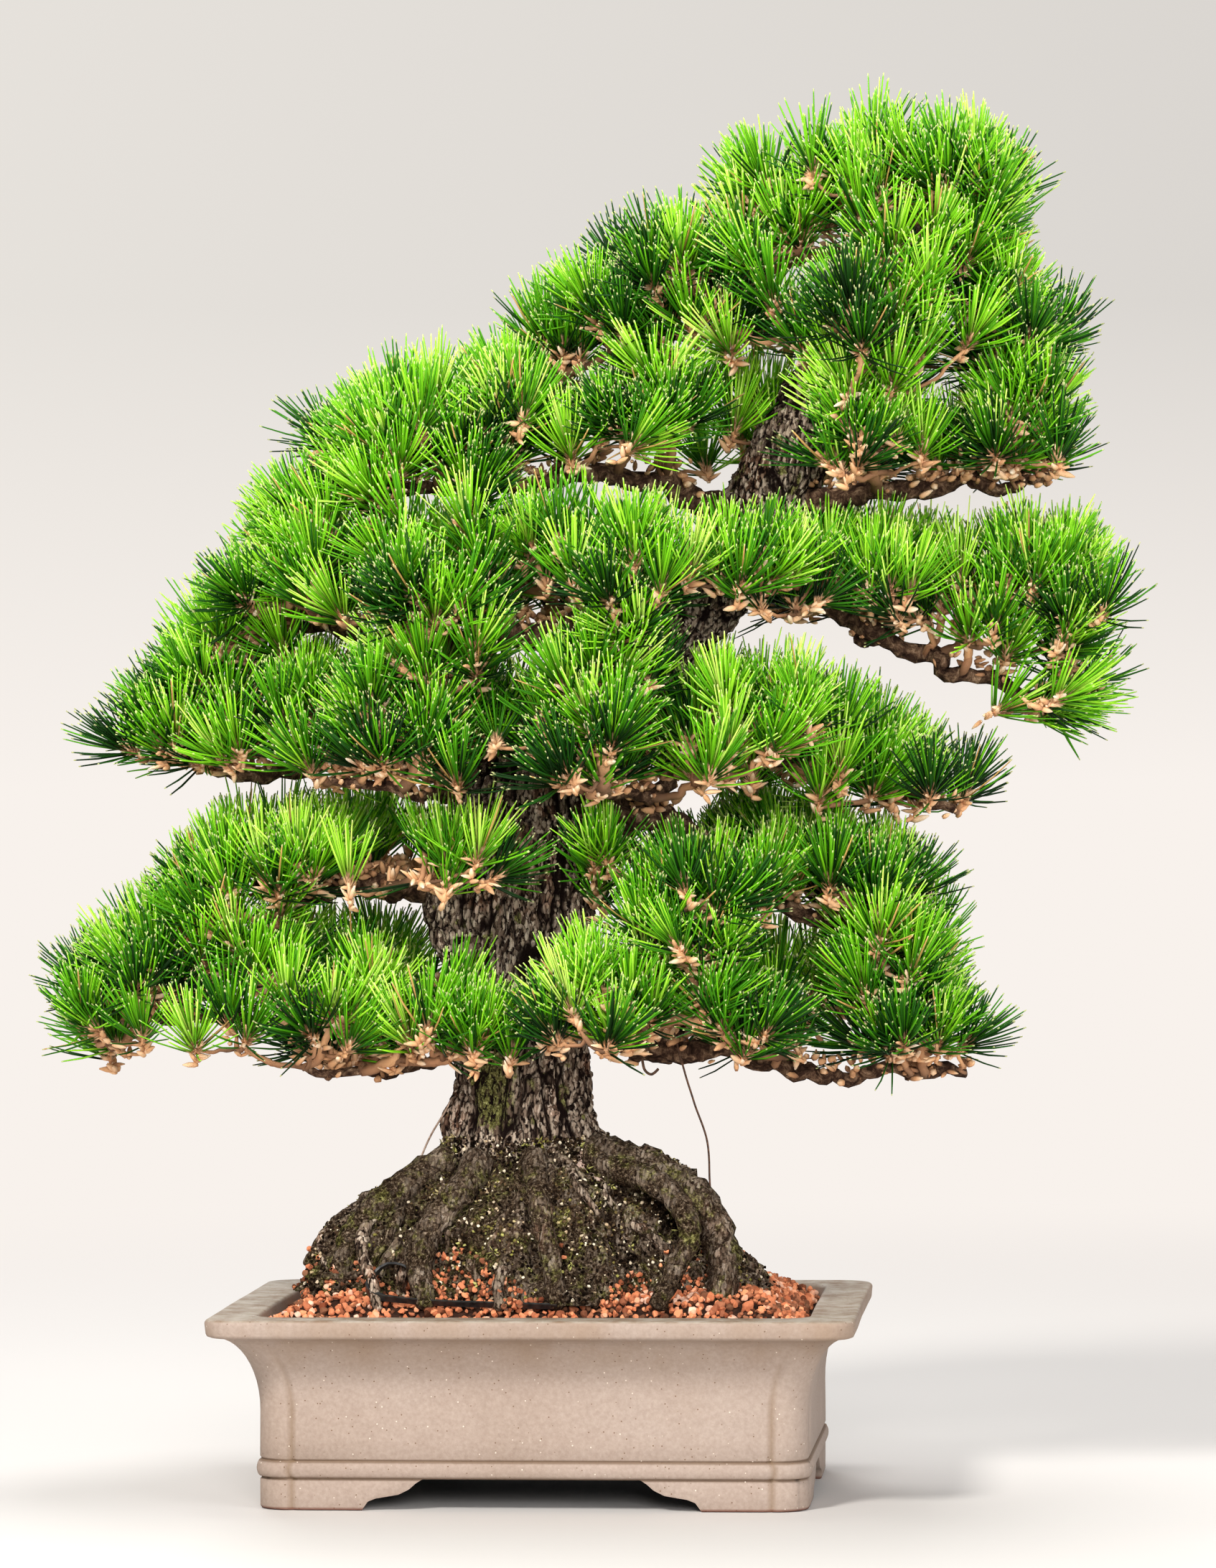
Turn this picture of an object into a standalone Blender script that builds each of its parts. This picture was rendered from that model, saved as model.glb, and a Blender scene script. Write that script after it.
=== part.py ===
"""Potted pine bonsai: a leaning trunk on a broad root mound, tiers of needle pads on branches,
granular soil, and a rectangular unglazed pot with a flared lip and four feet.
Metres, +Z up, front towards -Y. The whole object stands on z = 0, centred on the origin."""

import math

import bpy
from mathutils import Vector

GAP = 0.0003                       # clearance between pieces that touch

# ---- pot ------------------------------------------------------------------------------------
POT_HEIGHT = 0.109
RIM_HALF = Vector((0.183, 0.134))          # outer edge of the lip
LIP_OVERHANG = 0.0275                      # lip edge out from the wall below it
WALL_HALF = RIM_HALF - Vector((LIP_OVERHANG, LIP_OVERHANG))
LIP_FACE = 0.0105                          # height of the lip's front face
LIP_TOP_WIDTH = 0.027                      # flat top of the lip
LIP_UNDERCUT = 0.003                       # the flare meets the lip this far inside its edge
EDGE_ROUND = 0.0015                        # softening of the lip's and feet's edges
WALL = 0.010
THROAT_HEIGHT = 0.080                      # where the inside begins to widen up to the lip
FLOOR_THICKNESS = 0.012
FOOT_HEIGHT = 0.0176
BELT_HEIGHT = 0.010                        # raised belt just above the feet
BELT_PROUD = 0.0016
GROOVE = 0.0010                            # shallow groove above and below the belt
FLARE_START = 0.055                        # where the wall begins to curve out to the lip
FLARE_SHARES = (0.0, 0.35, 0.6, 0.8, 0.93, 1.0)
CORNER_RADIUS = 0.017
CREASE_WIDTH = 0.006                       # soft vertical crease between panel and corner
CREASE_DEPTH = 0.0016
FOOT_LENGTH = 0.0595                       # from the pot's corner to the cut-out, at the ground
FOOT_STEP = [                              # cloud-shaped end of a foot: run from the tip, height
    (0.0, 0.0), (0.0035, 0.0050), (0.0080, 0.0068), (0.0210, 0.0090),
    (0.0270, 0.0120), (0.0310, 0.0155), (0.0345, FOOT_HEIGHT)]
DRAIN_HOLE_RADIUS = 0.012
DRAIN_HOLE_X = 0.075
MESH_SIDE = 0.044
MESH_CELLS = 4
MESH_BAR = 0.0022
MESH_THICKNESS = 0.0012
CLIP_WIRE_RADIUS = 0.0007
CLIP_LEG = 0.0066                          # half the gap between the clip's two legs
CLIP_REACH = 0.019                         # how far its ends spread under the floor
CUTTER_REACH = 0.25                        # half length of the bars that cut between the feet
CUTTER_PAST = 0.010                        # how far a cutter runs past what it cuts

# ---- soil, trunk and branches ---------------------------------------------------------------
SOIL_EDGE_BELOW_RIM = 0.006
SOIL_CROWN = 0.118                         # height of the heaped soil under the roots
SOIL_HEAP = [                              # in from the soil's edge, height above that edge
    (0.010, 0.004), (0.020, 0.013), (0.026, 0.015)]
TRUNK_SIDES = 20
BRANCH_SIDES = 8
WIRE_SIDES = 6

# The trunk from the foot of its root mound to its tip:
# centre x, y, z, then half width across the front and half depth.
TRUNK_PATH = [
    (-0.010, 0.000, SOIL_CROWN + GAP, 0.134, 0.086),
    (-0.009, 0.000, 0.140, 0.121, 0.082),
    (-0.009, 0.000, 0.160, 0.112, 0.074),
    (0.000, 0.000, 0.176, 0.096, 0.064),
    (0.002, 0.000, 0.189, 0.070, 0.052),
    (-0.010, 0.000, 0.199, 0.047, 0.043),
    (-0.012, 0.000, 0.215, 0.042, 0.040),
    (-0.012, 0.000, 0.250, 0.041, 0.039),
    (-0.014, 0.000, 0.290, 0.042, 0.038),
    (-0.020, 0.002, 0.330, 0.047, 0.037),
    (-0.022, 0.004, 0.360, 0.047, 0.036),
    (-0.010, 0.006, 0.395, 0.040, 0.034),
    (0.006, 0.006, 0.425, 0.034, 0.032),
    (0.028, 0.004, 0.458, 0.031, 0.030),
    (0.060, 0.002, 0.492, 0.028, 0.028),
    (0.096, 0.000, 0.522, 0.026, 0.026),
    (0.124, 0.000, 0.560, 0.025, 0.025),
    (0.144, 0.000, 0.600, 0.023, 0.023),
    (0.165, 0.002, 0.640, 0.019, 0.019),
    (0.190, 0.004, 0.675, 0.014, 0.014),
    (0.208, 0.004, 0.705, 0.010, 0.010),
    (0.216, 0.002, 0.730, 0.006, 0.006)]
ROOT_MOUND_TOP = 0.195                     # below this height the section is lobed by the roots
LOBE_FADE = 0.040                          # height over which the lobes reach their full depth
UPRIGHT_BELOW = 0.30                       # sections are level up to here, then follow the lean
ROOT_LOBES = 7
ROOT_LOBE_DEPTH = 0.05

# Each branch is one or more shoots grown together: radius at the start, radius at the tip, and
# the route from inside the trunk, or from inside the main shoot, outwards.
BRANCHES = {
    "branch_low_left": [
        (0.013, 0.005, [
            (-0.030, 0.010, 0.288), (-0.066, 0.036, 0.284), (-0.110, 0.046, 0.268),
            (-0.160, 0.034, 0.256), (-0.205, 0.012, 0.258), (-0.262, 0.000, 0.262)]),
        (0.007, 0.004, [
            (-0.110, 0.046, 0.268), (-0.124, 0.080, 0.266), (-0.140, 0.110, 0.266)]),
        (0.008, 0.0035, [
            (-0.066, 0.036, 0.284), (-0.064, 0.032, 0.250), (-0.084, -0.010, 0.234),
            (-0.135, -0.040, 0.232)])],
    "branch_low_right": [
        (0.012, 0.005, [
            (0.000, 0.006, 0.272), (0.048, -0.004, 0.258), (0.100, -0.016, 0.250),
            (0.150, -0.012, 0.236), (0.196, -0.008, 0.231), (0.245, -0.006, 0.233)]),
        (0.007, 0.0035, [
            (0.060, -0.007, 0.256), (0.054, -0.050, 0.254), (0.044, -0.096, 0.252)]),
        (0.008, 0.004, [
            (0.060, -0.007, 0.256), (0.070, 0.040, 0.254), (0.092, 0.084, 0.254),
            (0.130, 0.100, 0.254)])],
    "branch_mid_left": [
        (0.013, 0.0045, [
            (-0.040, 0.000, 0.352), (-0.086, -0.006, 0.350), (-0.118, -0.006, 0.339),
            (-0.150, 0.000, 0.336), (-0.178, 0.002, 0.338)]),
        (0.008, 0.004, [
            (-0.086, -0.006, 0.350), (-0.090, 0.040, 0.346), (-0.094, 0.090, 0.342),
            (-0.110, 0.120, 0.342)])],
    "branch_mid_right": [
        (0.015, 0.005, [
            (0.000, -0.002, 0.392), (0.046, -0.012, 0.392), (0.100, -0.018, 0.372),
            (0.142, -0.012, 0.339), (0.180, -0.010, 0.332), (0.215, -0.008, 0.332)]),
        (0.009, 0.004, [
            (0.046, -0.012, 0.392), (0.052, 0.040, 0.362), (0.078, 0.088, 0.342),
            (0.110, 0.104, 0.340)])],
    "branch_left": [
        (0.014, 0.005, [
            (0.000, 0.000, 0.426), (-0.044, 0.000, 0.420), (-0.088, 0.012, 0.414),
            (-0.140, 0.014, 0.410), (-0.190, 0.010, 0.412), (-0.230, 0.008, 0.416)]),
        (0.009, 0.0035, [
            (-0.044, 0.000, 0.420), (-0.054, -0.036, 0.403), (-0.074, -0.068, 0.399),
            (-0.110, -0.076, 0.400)])],
    "branch_right": [
        (0.012, 0.004, [
            (0.040, 0.000, 0.464), (0.086, -0.012, 0.434), (0.124, -0.020, 0.419),
            (0.168, -0.012, 0.412), (0.205, -0.008, 0.396), (0.236, -0.006, 0.387)]),
        (0.008, 0.0035, [
            (0.086, -0.012, 0.434), (0.066, -0.034, 0.404), (0.050, -0.060, 0.396),
            (0.034, -0.092, 0.394)])],
    "branch_back": [
        (0.010, 0.004, [
            (0.020, 0.014, 0.444), (0.026, 0.060, 0.424), (0.020, 0.100, 0.412),
            (-0.030, 0.116, 0.414), (-0.090, 0.112, 0.420)])],
    "branch_upper_left": [
        (0.015, 0.005, [
            (0.058, 0.000, 0.494), (0.020, 0.008, 0.500), (-0.040, 0.014, 0.490),
            (-0.090, 0.012, 0.486), (-0.120, 0.008, 0.487), (-0.146, 0.004, 0.492)])],
    "branch_upper_right": [
        (0.012, 0.005, [
            (0.112, 0.000, 0.548), (0.150, -0.006, 0.530), (0.186, -0.006, 0.492),
            (0.230, -0.004, 0.466), (0.280, -0.004, 0.448), (0.320, -0.004, 0.450)]),
        (0.008, 0.004, [
            (0.186, -0.006, 0.492), (0.184, 0.040, 0.492), (0.190, 0.090, 0.492)])],
    "branch_high_left": [
        (0.013, 0.0045, [
            (0.136, 0.000, 0.588), (0.098, -0.004, 0.592), (0.050, -0.010, 0.588),
            (-0.010, -0.008, 0.584), (-0.070, -0.004, 0.582), (-0.136, 0.000, 0.584)])],
    "branch_high_right": [
        (0.011, 0.0045, [
            (0.132, 0.000, 0.572), (0.176, -0.010, 0.572), (0.220, -0.006, 0.570),
            (0.260, 0.000, 0.570), (0.296, 0.002, 0.574)])]}

# Needle pads, each inside a box: low corner, high corner, and how far it drops towards +X.
FOLIAGE = {
    "needles_low_left_outer": ((-0.300, -0.070, 0.270), (-0.168, 0.066, 0.340), -0.10),
    "needles_low_left_front": ((-0.164, -0.095, 0.246), (-0.058, 0.024, 0.326), 0.0),
    "needles_low_left_back": ((-0.196, 0.072, 0.276), (-0.060, 0.170, 0.334), 0.0),
    "needles_low_centre": ((-0.010, -0.140, 0.258), (0.070, -0.060, 0.332), 0.0),
    "needles_low_right_front": ((0.074, -0.110, 0.262), (0.148, -0.026, 0.330), 0.0),
    "needles_low_right_outer": ((0.152, -0.085, 0.246), (0.266, 0.062, 0.324), 0.0),
    "needles_low_right_back": ((0.030, 0.064, 0.262), (0.150, 0.155, 0.330), 0.0),
    "needles_mid_left": ((-0.232, -0.064, 0.348), (-0.100, 0.068, 0.394), -0.12),
    "needles_mid_left_back": ((-0.150, 0.074, 0.352), (-0.044, 0.170, 0.406), 0.0),
    "needles_mid_front": ((-0.084, -0.108, 0.350), (0.004, -0.056, 0.398), 0.0),
    "needles_mid_right_front": ((0.036, -0.110, 0.334), (0.134, -0.036, 0.384), 0.0),
    "needles_mid_right_outer": ((0.138, -0.085, 0.343), (0.240, 0.056, 0.391), 0.10),
    "needles_mid_right_back": ((0.036, 0.063, 0.355), (0.150, 0.165, 0.412), 0.0),
    "needles_left_outer": ((-0.272, -0.068, 0.430), (-0.142, 0.080, 0.500), -0.20),
    "needles_left_front": ((-0.140, -0.136, 0.410), (-0.022, -0.030, 0.484), 0.0),
    "needles_centre_front": ((-0.018, -0.142, 0.402), (0.084, -0.046, 0.490), 0.0),
    "needles_right_front": ((0.088, -0.118, 0.434), (0.182, -0.004, 0.488), 0.0),
    "needles_right_outer": ((0.186, -0.066, 0.404), (0.260, 0.050, 0.452), 0.30),
    "needles_back_right": ((0.008, 0.060, 0.430), (0.124, 0.182, 0.496), 0.0),
    "needles_back_left": ((-0.136, 0.038, 0.434), (0.002, 0.165, 0.490), 0.0),
    "needles_upper_left_outer": ((-0.196, -0.070, 0.510), (-0.102, 0.076, 0.576), -0.12),
    "needles_upper_left_front": ((-0.098, -0.130, 0.496), (0.006, -0.024, 0.574), 0.0),
    "needles_upper_centre_front": ((0.010, -0.128, 0.506), (0.104, -0.034, 0.574), 0.0),
    "needles_upper_left_back": ((-0.102, 0.030, 0.508), (0.050, 0.158, 0.574), 0.0),
    "needles_upper_right_front": ((0.108, -0.110, 0.504), (0.182, -0.030, 0.564), 0.0),
    "needles_upper_right_mid": ((0.186, -0.074, 0.504), (0.264, 0.048, 0.558), 0.20),
    "needles_upper_right_outer": ((0.268, -0.066, 0.468), (0.346, 0.052, 0.562), 0.15),
    "needles_upper_right_back": ((0.106, 0.054, 0.508), (0.244, 0.162, 0.572), 0.0),
    "needles_high_left": ((-0.162, -0.082, 0.602), (0.020, 0.068, 0.662), -0.20),
    "needles_high_left_inner": ((0.024, -0.106, 0.606), (0.116, 0.066, 0.664), 0.0),
    "needles_high_right_front": ((0.146, -0.106, 0.584), (0.216, -0.030, 0.640), 0.0),
    "needles_high_right_outer": ((0.220, -0.068, 0.588), (0.320, 0.062, 0.638), 0.0),
    "needles_high_back": ((0.122, 0.042, 0.590), (0.216, 0.150, 0.648), 0.0),
    "needles_apex_left": ((0.016, -0.072, 0.680), (0.148, 0.068, 0.758), -0.40),
    "needles_apex_front": ((0.146, -0.118, 0.646), (0.234, -0.034, 0.734), 0.0),
    "needles_apex_right": ((0.238, -0.078, 0.648), (0.318, 0.068, 0.734), 0.20),
    "needles_apex_back": ((0.150, 0.036, 0.654), (0.234, 0.132, 0.734), 0.0),
    "needles_apex_top": ((0.150, -0.078, 0.744), (0.300, 0.078, 0.806), 0.05)}
PAD_SIDES = 12
PAD_PROFILE = [                            # height share, width share: flat under, domed above
    (0.0, 0.80), (0.14, 0.96), (0.34, 1.0), (0.62, 0.95), (0.84, 0.78), (1.0, 0.44)]
PAD_SQUARENESS = 0.62                      # below 1 the outline fills its box more than an ellipse
PAD_LUMPS = 3
PAD_LUMP_DEPTH = 0.035

# ---- wires and tie --------------------------------------------------------------------------
GUY_WIRE_RADIUS = 0.0006
GUY_WIRES = {
    "guy_wire_left": [
        (-0.074, -0.010, 0.1935), (-0.064, -0.016, 0.212), (-0.0575, -0.030, 0.226),
        (-0.0560, -0.040, 0.240)],
    "guy_wire_right": [
        (0.1010, -0.022, 0.1845), (0.0945, -0.0245, 0.204), (0.0870, -0.0265, 0.226),
        (0.0815, -0.0270, 0.246), (0.0745, -0.0265, 0.266)]}
HOOK_WIRE_RADIUS = 0.0008
HOOK_WIRE = [
    (0.0574, -0.0270, 0.2480), (0.0588, -0.0275, 0.2432), (0.0634, -0.0280, 0.2408),
    (0.0678, -0.0275, 0.2440), (0.0692, -0.0260, 0.2520)]
TIE_ROUTE = [                              # x, y, z, half width, half thickness
    (-0.066, -0.0790, 0.1280, 0.0022, 0.0006),
    (-0.074, -0.0765, 0.1352, 0.0022, 0.0006),
    (-0.084, -0.0735, 0.1362, 0.0022, 0.0006),
    (-0.0915, -0.0730, 0.1310, 0.0024, 0.0008),
    (-0.0940, -0.0780, 0.1256, 0.0034, 0.0022),
    (-0.0930, -0.0825, 0.1210, 0.0030, 0.0018),
    (-0.084, -0.0870, 0.1178, 0.0022, 0.0006),
    (-0.056, -0.0900, 0.1156, 0.0020, 0.0006),
    (-0.022, -0.0915, 0.1146, 0.0020, 0.0006),
    (0.014, -0.0925, 0.1138, 0.0018, 0.0006)]

SMOOTH_ANGLE = math.radians(40)


# ---- helpers --------------------------------------------------------------------------------

def clear_scene():
    for item in list(bpy.data.objects):
        bpy.data.objects.remove(item)


def material(name, colour, roughness, metallic=0.0):
    made = bpy.data.materials.new(name)
    made.use_nodes = True
    shader = made.node_tree.nodes["Principled BSDF"]
    shader.inputs["Base Color"].default_value = (*colour, 1.0)
    shader.inputs["Roughness"].default_value = roughness
    shader.inputs["Metallic"].default_value = metallic
    made.diffuse_color = (*colour, 1.0)
    return made


def make_object(name, vertices, faces, finish, parent):
    mesh = bpy.data.meshes.new(name)
    mesh.from_pydata([tuple(v) for v in vertices], [], faces)
    mesh.update()
    mesh.shade_smooth()
    mesh.set_sharp_from_angle(angle=SMOOTH_ANGLE)
    made = bpy.data.objects.new(name, mesh)
    bpy.context.scene.collection.objects.link(made)
    made.parent = parent
    if finish:
        mesh.materials.append(finish)
    return made


def loft(name, rings, finish, parent):
    """A closed skin over rings of equal length, listed so that they run counter-clockwise
    when seen from the last ring, with a flat face on each end."""
    count = len(rings[0])
    vertices = [point for ring in rings for point in ring]
    faces = [tuple(reversed(range(count)))]
    for level in range(len(rings) - 1):
        low = level * count
        for side in range(count):
            after = (side + 1) % count
            faces.append((low + side, low + after, low + count + after, low + count + side))
    top = (len(rings) - 1) * count
    faces.append(tuple(range(top, top + count)))
    return make_object(name, vertices, faces, finish, parent)


def smooth_route(points, steps):
    """Points on a Catmull-Rom curve through the given points, with any extra columns carried."""
    rows = [tuple(point) for point in points]
    ends = [rows[0]] + rows + [rows[-1]]
    route = []
    for index in range(len(rows) - 1):
        before, start, stop, after = ends[index:index + 4]
        for step in range(steps):
            t = step / steps
            route.append(tuple(
                0.5 * (2 * b + (c - a) * t + (2 * a - 5 * b + 4 * c - d) * t ** 2
                       + (3 * b - a - 3 * c + d) * t ** 3)
                for a, b, c, d in zip(before, start, stop, after)))
    route.append(rows[-1])
    return route


def frames_along(points, start_side):
    """For each point, the two directions that span the section there, turned without twist."""
    frames = []
    side = start_side
    for index, point in enumerate(points):
        ahead = points[min(index + 1, len(points) - 1)]
        behind = points[max(index - 1, 0)]
        along = (ahead - behind).normalized()
        side = (side - along * side.dot(along)).normalized()
        frames.append((side, along.cross(side)))
    return frames


def tube(name, route, radii, sides, finish, parent, start_side=Vector((0, 1, 0.1))):
    points = [Vector(point[:3]) for point in route]
    rings = []
    for point, radius, (side, other) in zip(points, radii, frames_along(points, start_side)):
        angles = [2 * math.pi * index / sides for index in range(sides)]
        rings.append([point + side * radius * math.cos(a) + other * radius * math.sin(a)
                      for a in angles])
    return loft(name, rings, finish, parent)


def combine(target, tool, operation):
    """Join a tool object to the target or cut it away; the tool itself isn't a piece."""
    tool.hide_render = True
    tool.display_type = "WIRE"
    step = target.modifiers.new(operation.lower() + "_" + tool.name, "BOOLEAN")
    step.operation = operation
    step.solver = "EXACT"
    step.object = tool


# ---- pot ------------------------------------------------------------------------------------

def pot_outline(half, crease):
    """Rounded rectangle with a soft crease beside each corner, counter-clockwise from +X."""
    arc_steps = 5
    points = []
    for quarter in range(4):
        turn = quarter * math.pi / 2
        sign_x, sign_y = [(1, 1), (-1, 1), (-1, -1), (1, -1)][quarter]
        centre = Vector((sign_x * (half.x - CORNER_RADIUS), sign_y * (half.y - CORNER_RADIUS)))
        start = Vector((math.cos(turn), math.sin(turn)))
        stop = Vector((-start.y, start.x))
        edge_in = centre + start * CORNER_RADIUS
        edge_out = centre + stop * CORNER_RADIUS
        points.append(edge_in - stop * CREASE_WIDTH)
        points.append(edge_in - stop * CREASE_WIDTH / 2 - start * crease)
        for step in range(arc_steps + 1):
            angle = turn + step / arc_steps * math.pi / 2
            points.append(centre + Vector((math.cos(angle), math.sin(angle))) * CORNER_RADIUS)
        points.append(edge_out - start * CREASE_WIDTH / 2 - stop * crease)
        points.append(edge_out - start * CREASE_WIDTH)
    return points


def pot_ring(offset, height, crease=0.0):
    """The pot's outline at a height, moved outwards from the plain wall by an offset."""
    half = WALL_HALF + Vector((offset, offset))
    return [Vector((p.x, p.y, height)) for p in pot_outline(half, crease)]


def flare_offset(height):
    share = (height - FLARE_START) / (POT_HEIGHT - LIP_FACE - FLARE_START)
    return (LIP_OVERHANG - LIP_UNDERCUT) * (1 - math.sqrt(max(0.0, 1 - share ** 2)))


def make_pot(finish, parent):
    belt_top = FOOT_HEIGHT + BELT_HEIGHT
    lip_bottom = POT_HEIGHT - LIP_FACE
    lip_inner = LIP_OVERHANG - LIP_TOP_WIDTH
    rings = [
        pot_ring(-WALL, FOOT_HEIGHT + GAP * 3),
        pot_ring(-WALL, 0.0),
        pot_ring(-EDGE_ROUND, 0.0),
        pot_ring(0.0, EDGE_ROUND, CREASE_DEPTH),
        pot_ring(0.0, FOOT_HEIGHT - GROOVE, CREASE_DEPTH),
        pot_ring(-GROOVE, FOOT_HEIGHT, CREASE_DEPTH),
        pot_ring(BELT_PROUD, FOOT_HEIGHT + BELT_HEIGHT * 0.3, CREASE_DEPTH),
        pot_ring(BELT_PROUD, FOOT_HEIGHT + BELT_HEIGHT * 0.7, CREASE_DEPTH),
        pot_ring(-GROOVE, belt_top, CREASE_DEPTH),
        pot_ring(0.0, belt_top + GROOVE, CREASE_DEPTH)]
    for share in FLARE_SHARES:
        level = FLARE_START + (lip_bottom - FLARE_START) * share
        rings.append(pot_ring(flare_offset(level), level, CREASE_DEPTH * (1 - share)))
    rings += [
        pot_ring(LIP_OVERHANG, POT_HEIGHT - EDGE_ROUND),
        pot_ring(LIP_OVERHANG - EDGE_ROUND, POT_HEIGHT),
        pot_ring(lip_inner + EDGE_ROUND, POT_HEIGHT),
        pot_ring(lip_inner, POT_HEIGHT - EDGE_ROUND),
        pot_ring(-WALL, THROAT_HEIGHT),
        pot_ring(-WALL, FOOT_HEIGHT + FLOOR_THICKNESS)]
    pot = loft("pot", rings, finish, parent)
    cutters = [drain_cutter("cutter_drain_left", -DRAIN_HOLE_X, parent),
               drain_cutter("cutter_drain_right", DRAIN_HOLE_X, parent),
               foot_cutter("cutter_feet_front", WALL_HALF.x - FOOT_LENGTH, False, parent),
               foot_cutter("cutter_feet_side", WALL_HALF.y - FOOT_LENGTH, True, parent)]
    for cutter in cutters:
        combine(pot, cutter, "DIFFERENCE")


def drain_cutter(name, centre_x, parent):
    """A round bar through the floor."""
    sides = 20
    angles = [2 * math.pi * index / sides for index in range(sides)]
    rings = []
    for height in (FOOT_HEIGHT - CUTTER_PAST, FOOT_HEIGHT + FLOOR_THICKNESS + CUTTER_PAST):
        rings.append([Vector((centre_x + DRAIN_HOLE_RADIUS * math.cos(a),
                              DRAIN_HOLE_RADIUS * math.sin(a), height)) for a in angles])
    return loft(name, rings, None, parent)


def foot_cutter(name, half_gap, along_x, parent):
    """A long bar with the cloud-shaped section between two feet, through two opposite walls."""
    right = [(half_gap - run, height) for run, height in FOOT_STEP]
    left = [(-across, height) for across, height in reversed(right)]
    section = [(-half_gap, -CUTTER_PAST), (half_gap, -CUTTER_PAST)] + right + left
    rings = []
    for end in (CUTTER_REACH, -CUTTER_REACH):
        if along_x:
            rings.append([Vector((-end, across, height)) for across, height in section])
        else:
            rings.append([Vector((across, end, height)) for across, height in section])
    return loft(name, rings, None, parent)


def make_drain_mesh(name, centre_x, finish, parent):
    """A square plastic mesh that lies on the floor over a drain hole: a slab with square holes."""
    base = FOOT_HEIGHT + FLOOR_THICKNESS + GAP
    lines = []
    pitch = (MESH_SIDE - MESH_BAR) / MESH_CELLS
    for index in range(MESH_CELLS + 1):
        start = -MESH_SIDE / 2 + index * pitch
        lines += [start, start + MESH_BAR]
    count = len(lines)
    vertices = [Vector((centre_x + x, y, base + height))
                for height in (0.0, MESH_THICKNESS) for y in lines for x in lines]

    def corner(level, row, column):
        return level * count * count + row * count + column

    def solid(row, column):
        inside = 0 <= row < count - 1 and 0 <= column < count - 1
        return inside and (row % 2 == 0 or column % 2 == 0)

    faces = []
    for row in range(count - 1):
        for column in range(count - 1):
            if not solid(row, column):
                continue
            around = [(row, column), (row, column + 1), (row + 1, column + 1), (row + 1, column)]
            faces.append([corner(1, r, c) for r, c in around])
            faces.append([corner(0, r, c) for r, c in reversed(around)])
            neighbours = [(row - 1, column), (row, column + 1), (row + 1, column), (row, column - 1)]
            for edge, beside in enumerate(neighbours):
                if not solid(*beside):
                    first = around[edge]
                    second = around[(edge + 1) % 4]
                    faces.append([corner(0, *first), corner(0, *second),
                                  corner(1, *second), corner(1, *first)])
    return make_object(name, vertices, faces, finish, parent)


def make_clip_wire(name, centre_x, finish, parent):
    """The bent wire that holds a drain mesh: over the mesh, down the hole, and out below."""
    over = FOOT_HEIGHT + FLOOR_THICKNESS + MESH_THICKNESS + 2 * GAP + CLIP_WIRE_RADIUS
    under = FOOT_HEIGHT - 2 * GAP - CLIP_WIRE_RADIUS
    cell_middle = (MESH_SIDE + MESH_BAR) / (2 * MESH_CELLS)
    bends = [(-CLIP_REACH, under), (-CLIP_LEG, under), (-CLIP_LEG, over),
             (CLIP_LEG, over), (CLIP_LEG, under), (CLIP_REACH, under)]
    route = [(centre_x + run, cell_middle, height) for run, height in bends]
    radii = [CLIP_WIRE_RADIUS] * len(route)
    return tube(name, route, radii, WIRE_SIDES, finish, parent, Vector((0, 1, 0)))


# ---- soil and wood --------------------------------------------------------------------------

def make_soil(finish, parent):
    floor = FOOT_HEIGHT + FLOOR_THICKNESS + MESH_THICKNESS + 2 * CLIP_WIRE_RADIUS + 4 * GAP
    edge = POT_HEIGHT - SOIL_EDGE_BELOW_RIM
    lip_inner = LIP_OVERHANG - LIP_TOP_WIDTH
    share = (edge - THROAT_HEIGHT) / (POT_HEIGHT - EDGE_ROUND - THROAT_HEIGHT)
    edge_offset = -WALL + (lip_inner + WALL) * share
    rings = [
        pot_ring(-WALL - GAP, floor),
        pot_ring(-WALL - GAP, THROAT_HEIGHT),
        pot_ring(edge_offset - GAP, edge)]
    for inwards, rise in SOIL_HEAP:
        rings.append(pot_ring(edge_offset - inwards, edge + rise))
    loft("soil", rings, finish, parent)


def trunk_rings(grow):
    """Lobed rings up the trunk, each made larger by grow."""
    points = [Vector(row[:3]) for row in TRUNK_PATH]
    frames = frames_along(points, Vector((1, 0, 0)))
    rings = []
    for row, point, (side, other) in zip(TRUNK_PATH, points, frames):
        half_width, half_depth = row[3] + grow, row[4] + grow
        if point.z < UPRIGHT_BELOW:
            side, other = Vector((1, 0, 0)), Vector((0, 1, 0))
        mound_share = max(0.0, min(1.0, (ROOT_MOUND_TOP - point.z) / LOBE_FADE))
        ring = []
        for index in range(TRUNK_SIDES):
            angle = 2 * math.pi * index / TRUNK_SIDES
            lobe = 1 - ROOT_LOBE_DEPTH * mound_share * (1 - math.cos(ROOT_LOBES * angle)) / 2
            ring.append(point + side * half_width * lobe * math.cos(angle)
                        + other * half_depth * lobe * math.sin(angle))
        rings.append(ring)
    rings[0] = [Vector((p.x, p.y, p.z - grow)) for p in rings[0]]
    return rings


def make_shoot(name, shoot, finish, parent):
    start_radius, end_radius, points = shoot
    route = smooth_route(points, 2)
    last = len(route) - 1
    radii = [start_radius + (end_radius - start_radius) * index / last
             for index in range(len(route))]
    return tube(name, route, radii, BRANCH_SIDES, finish, parent)


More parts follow.
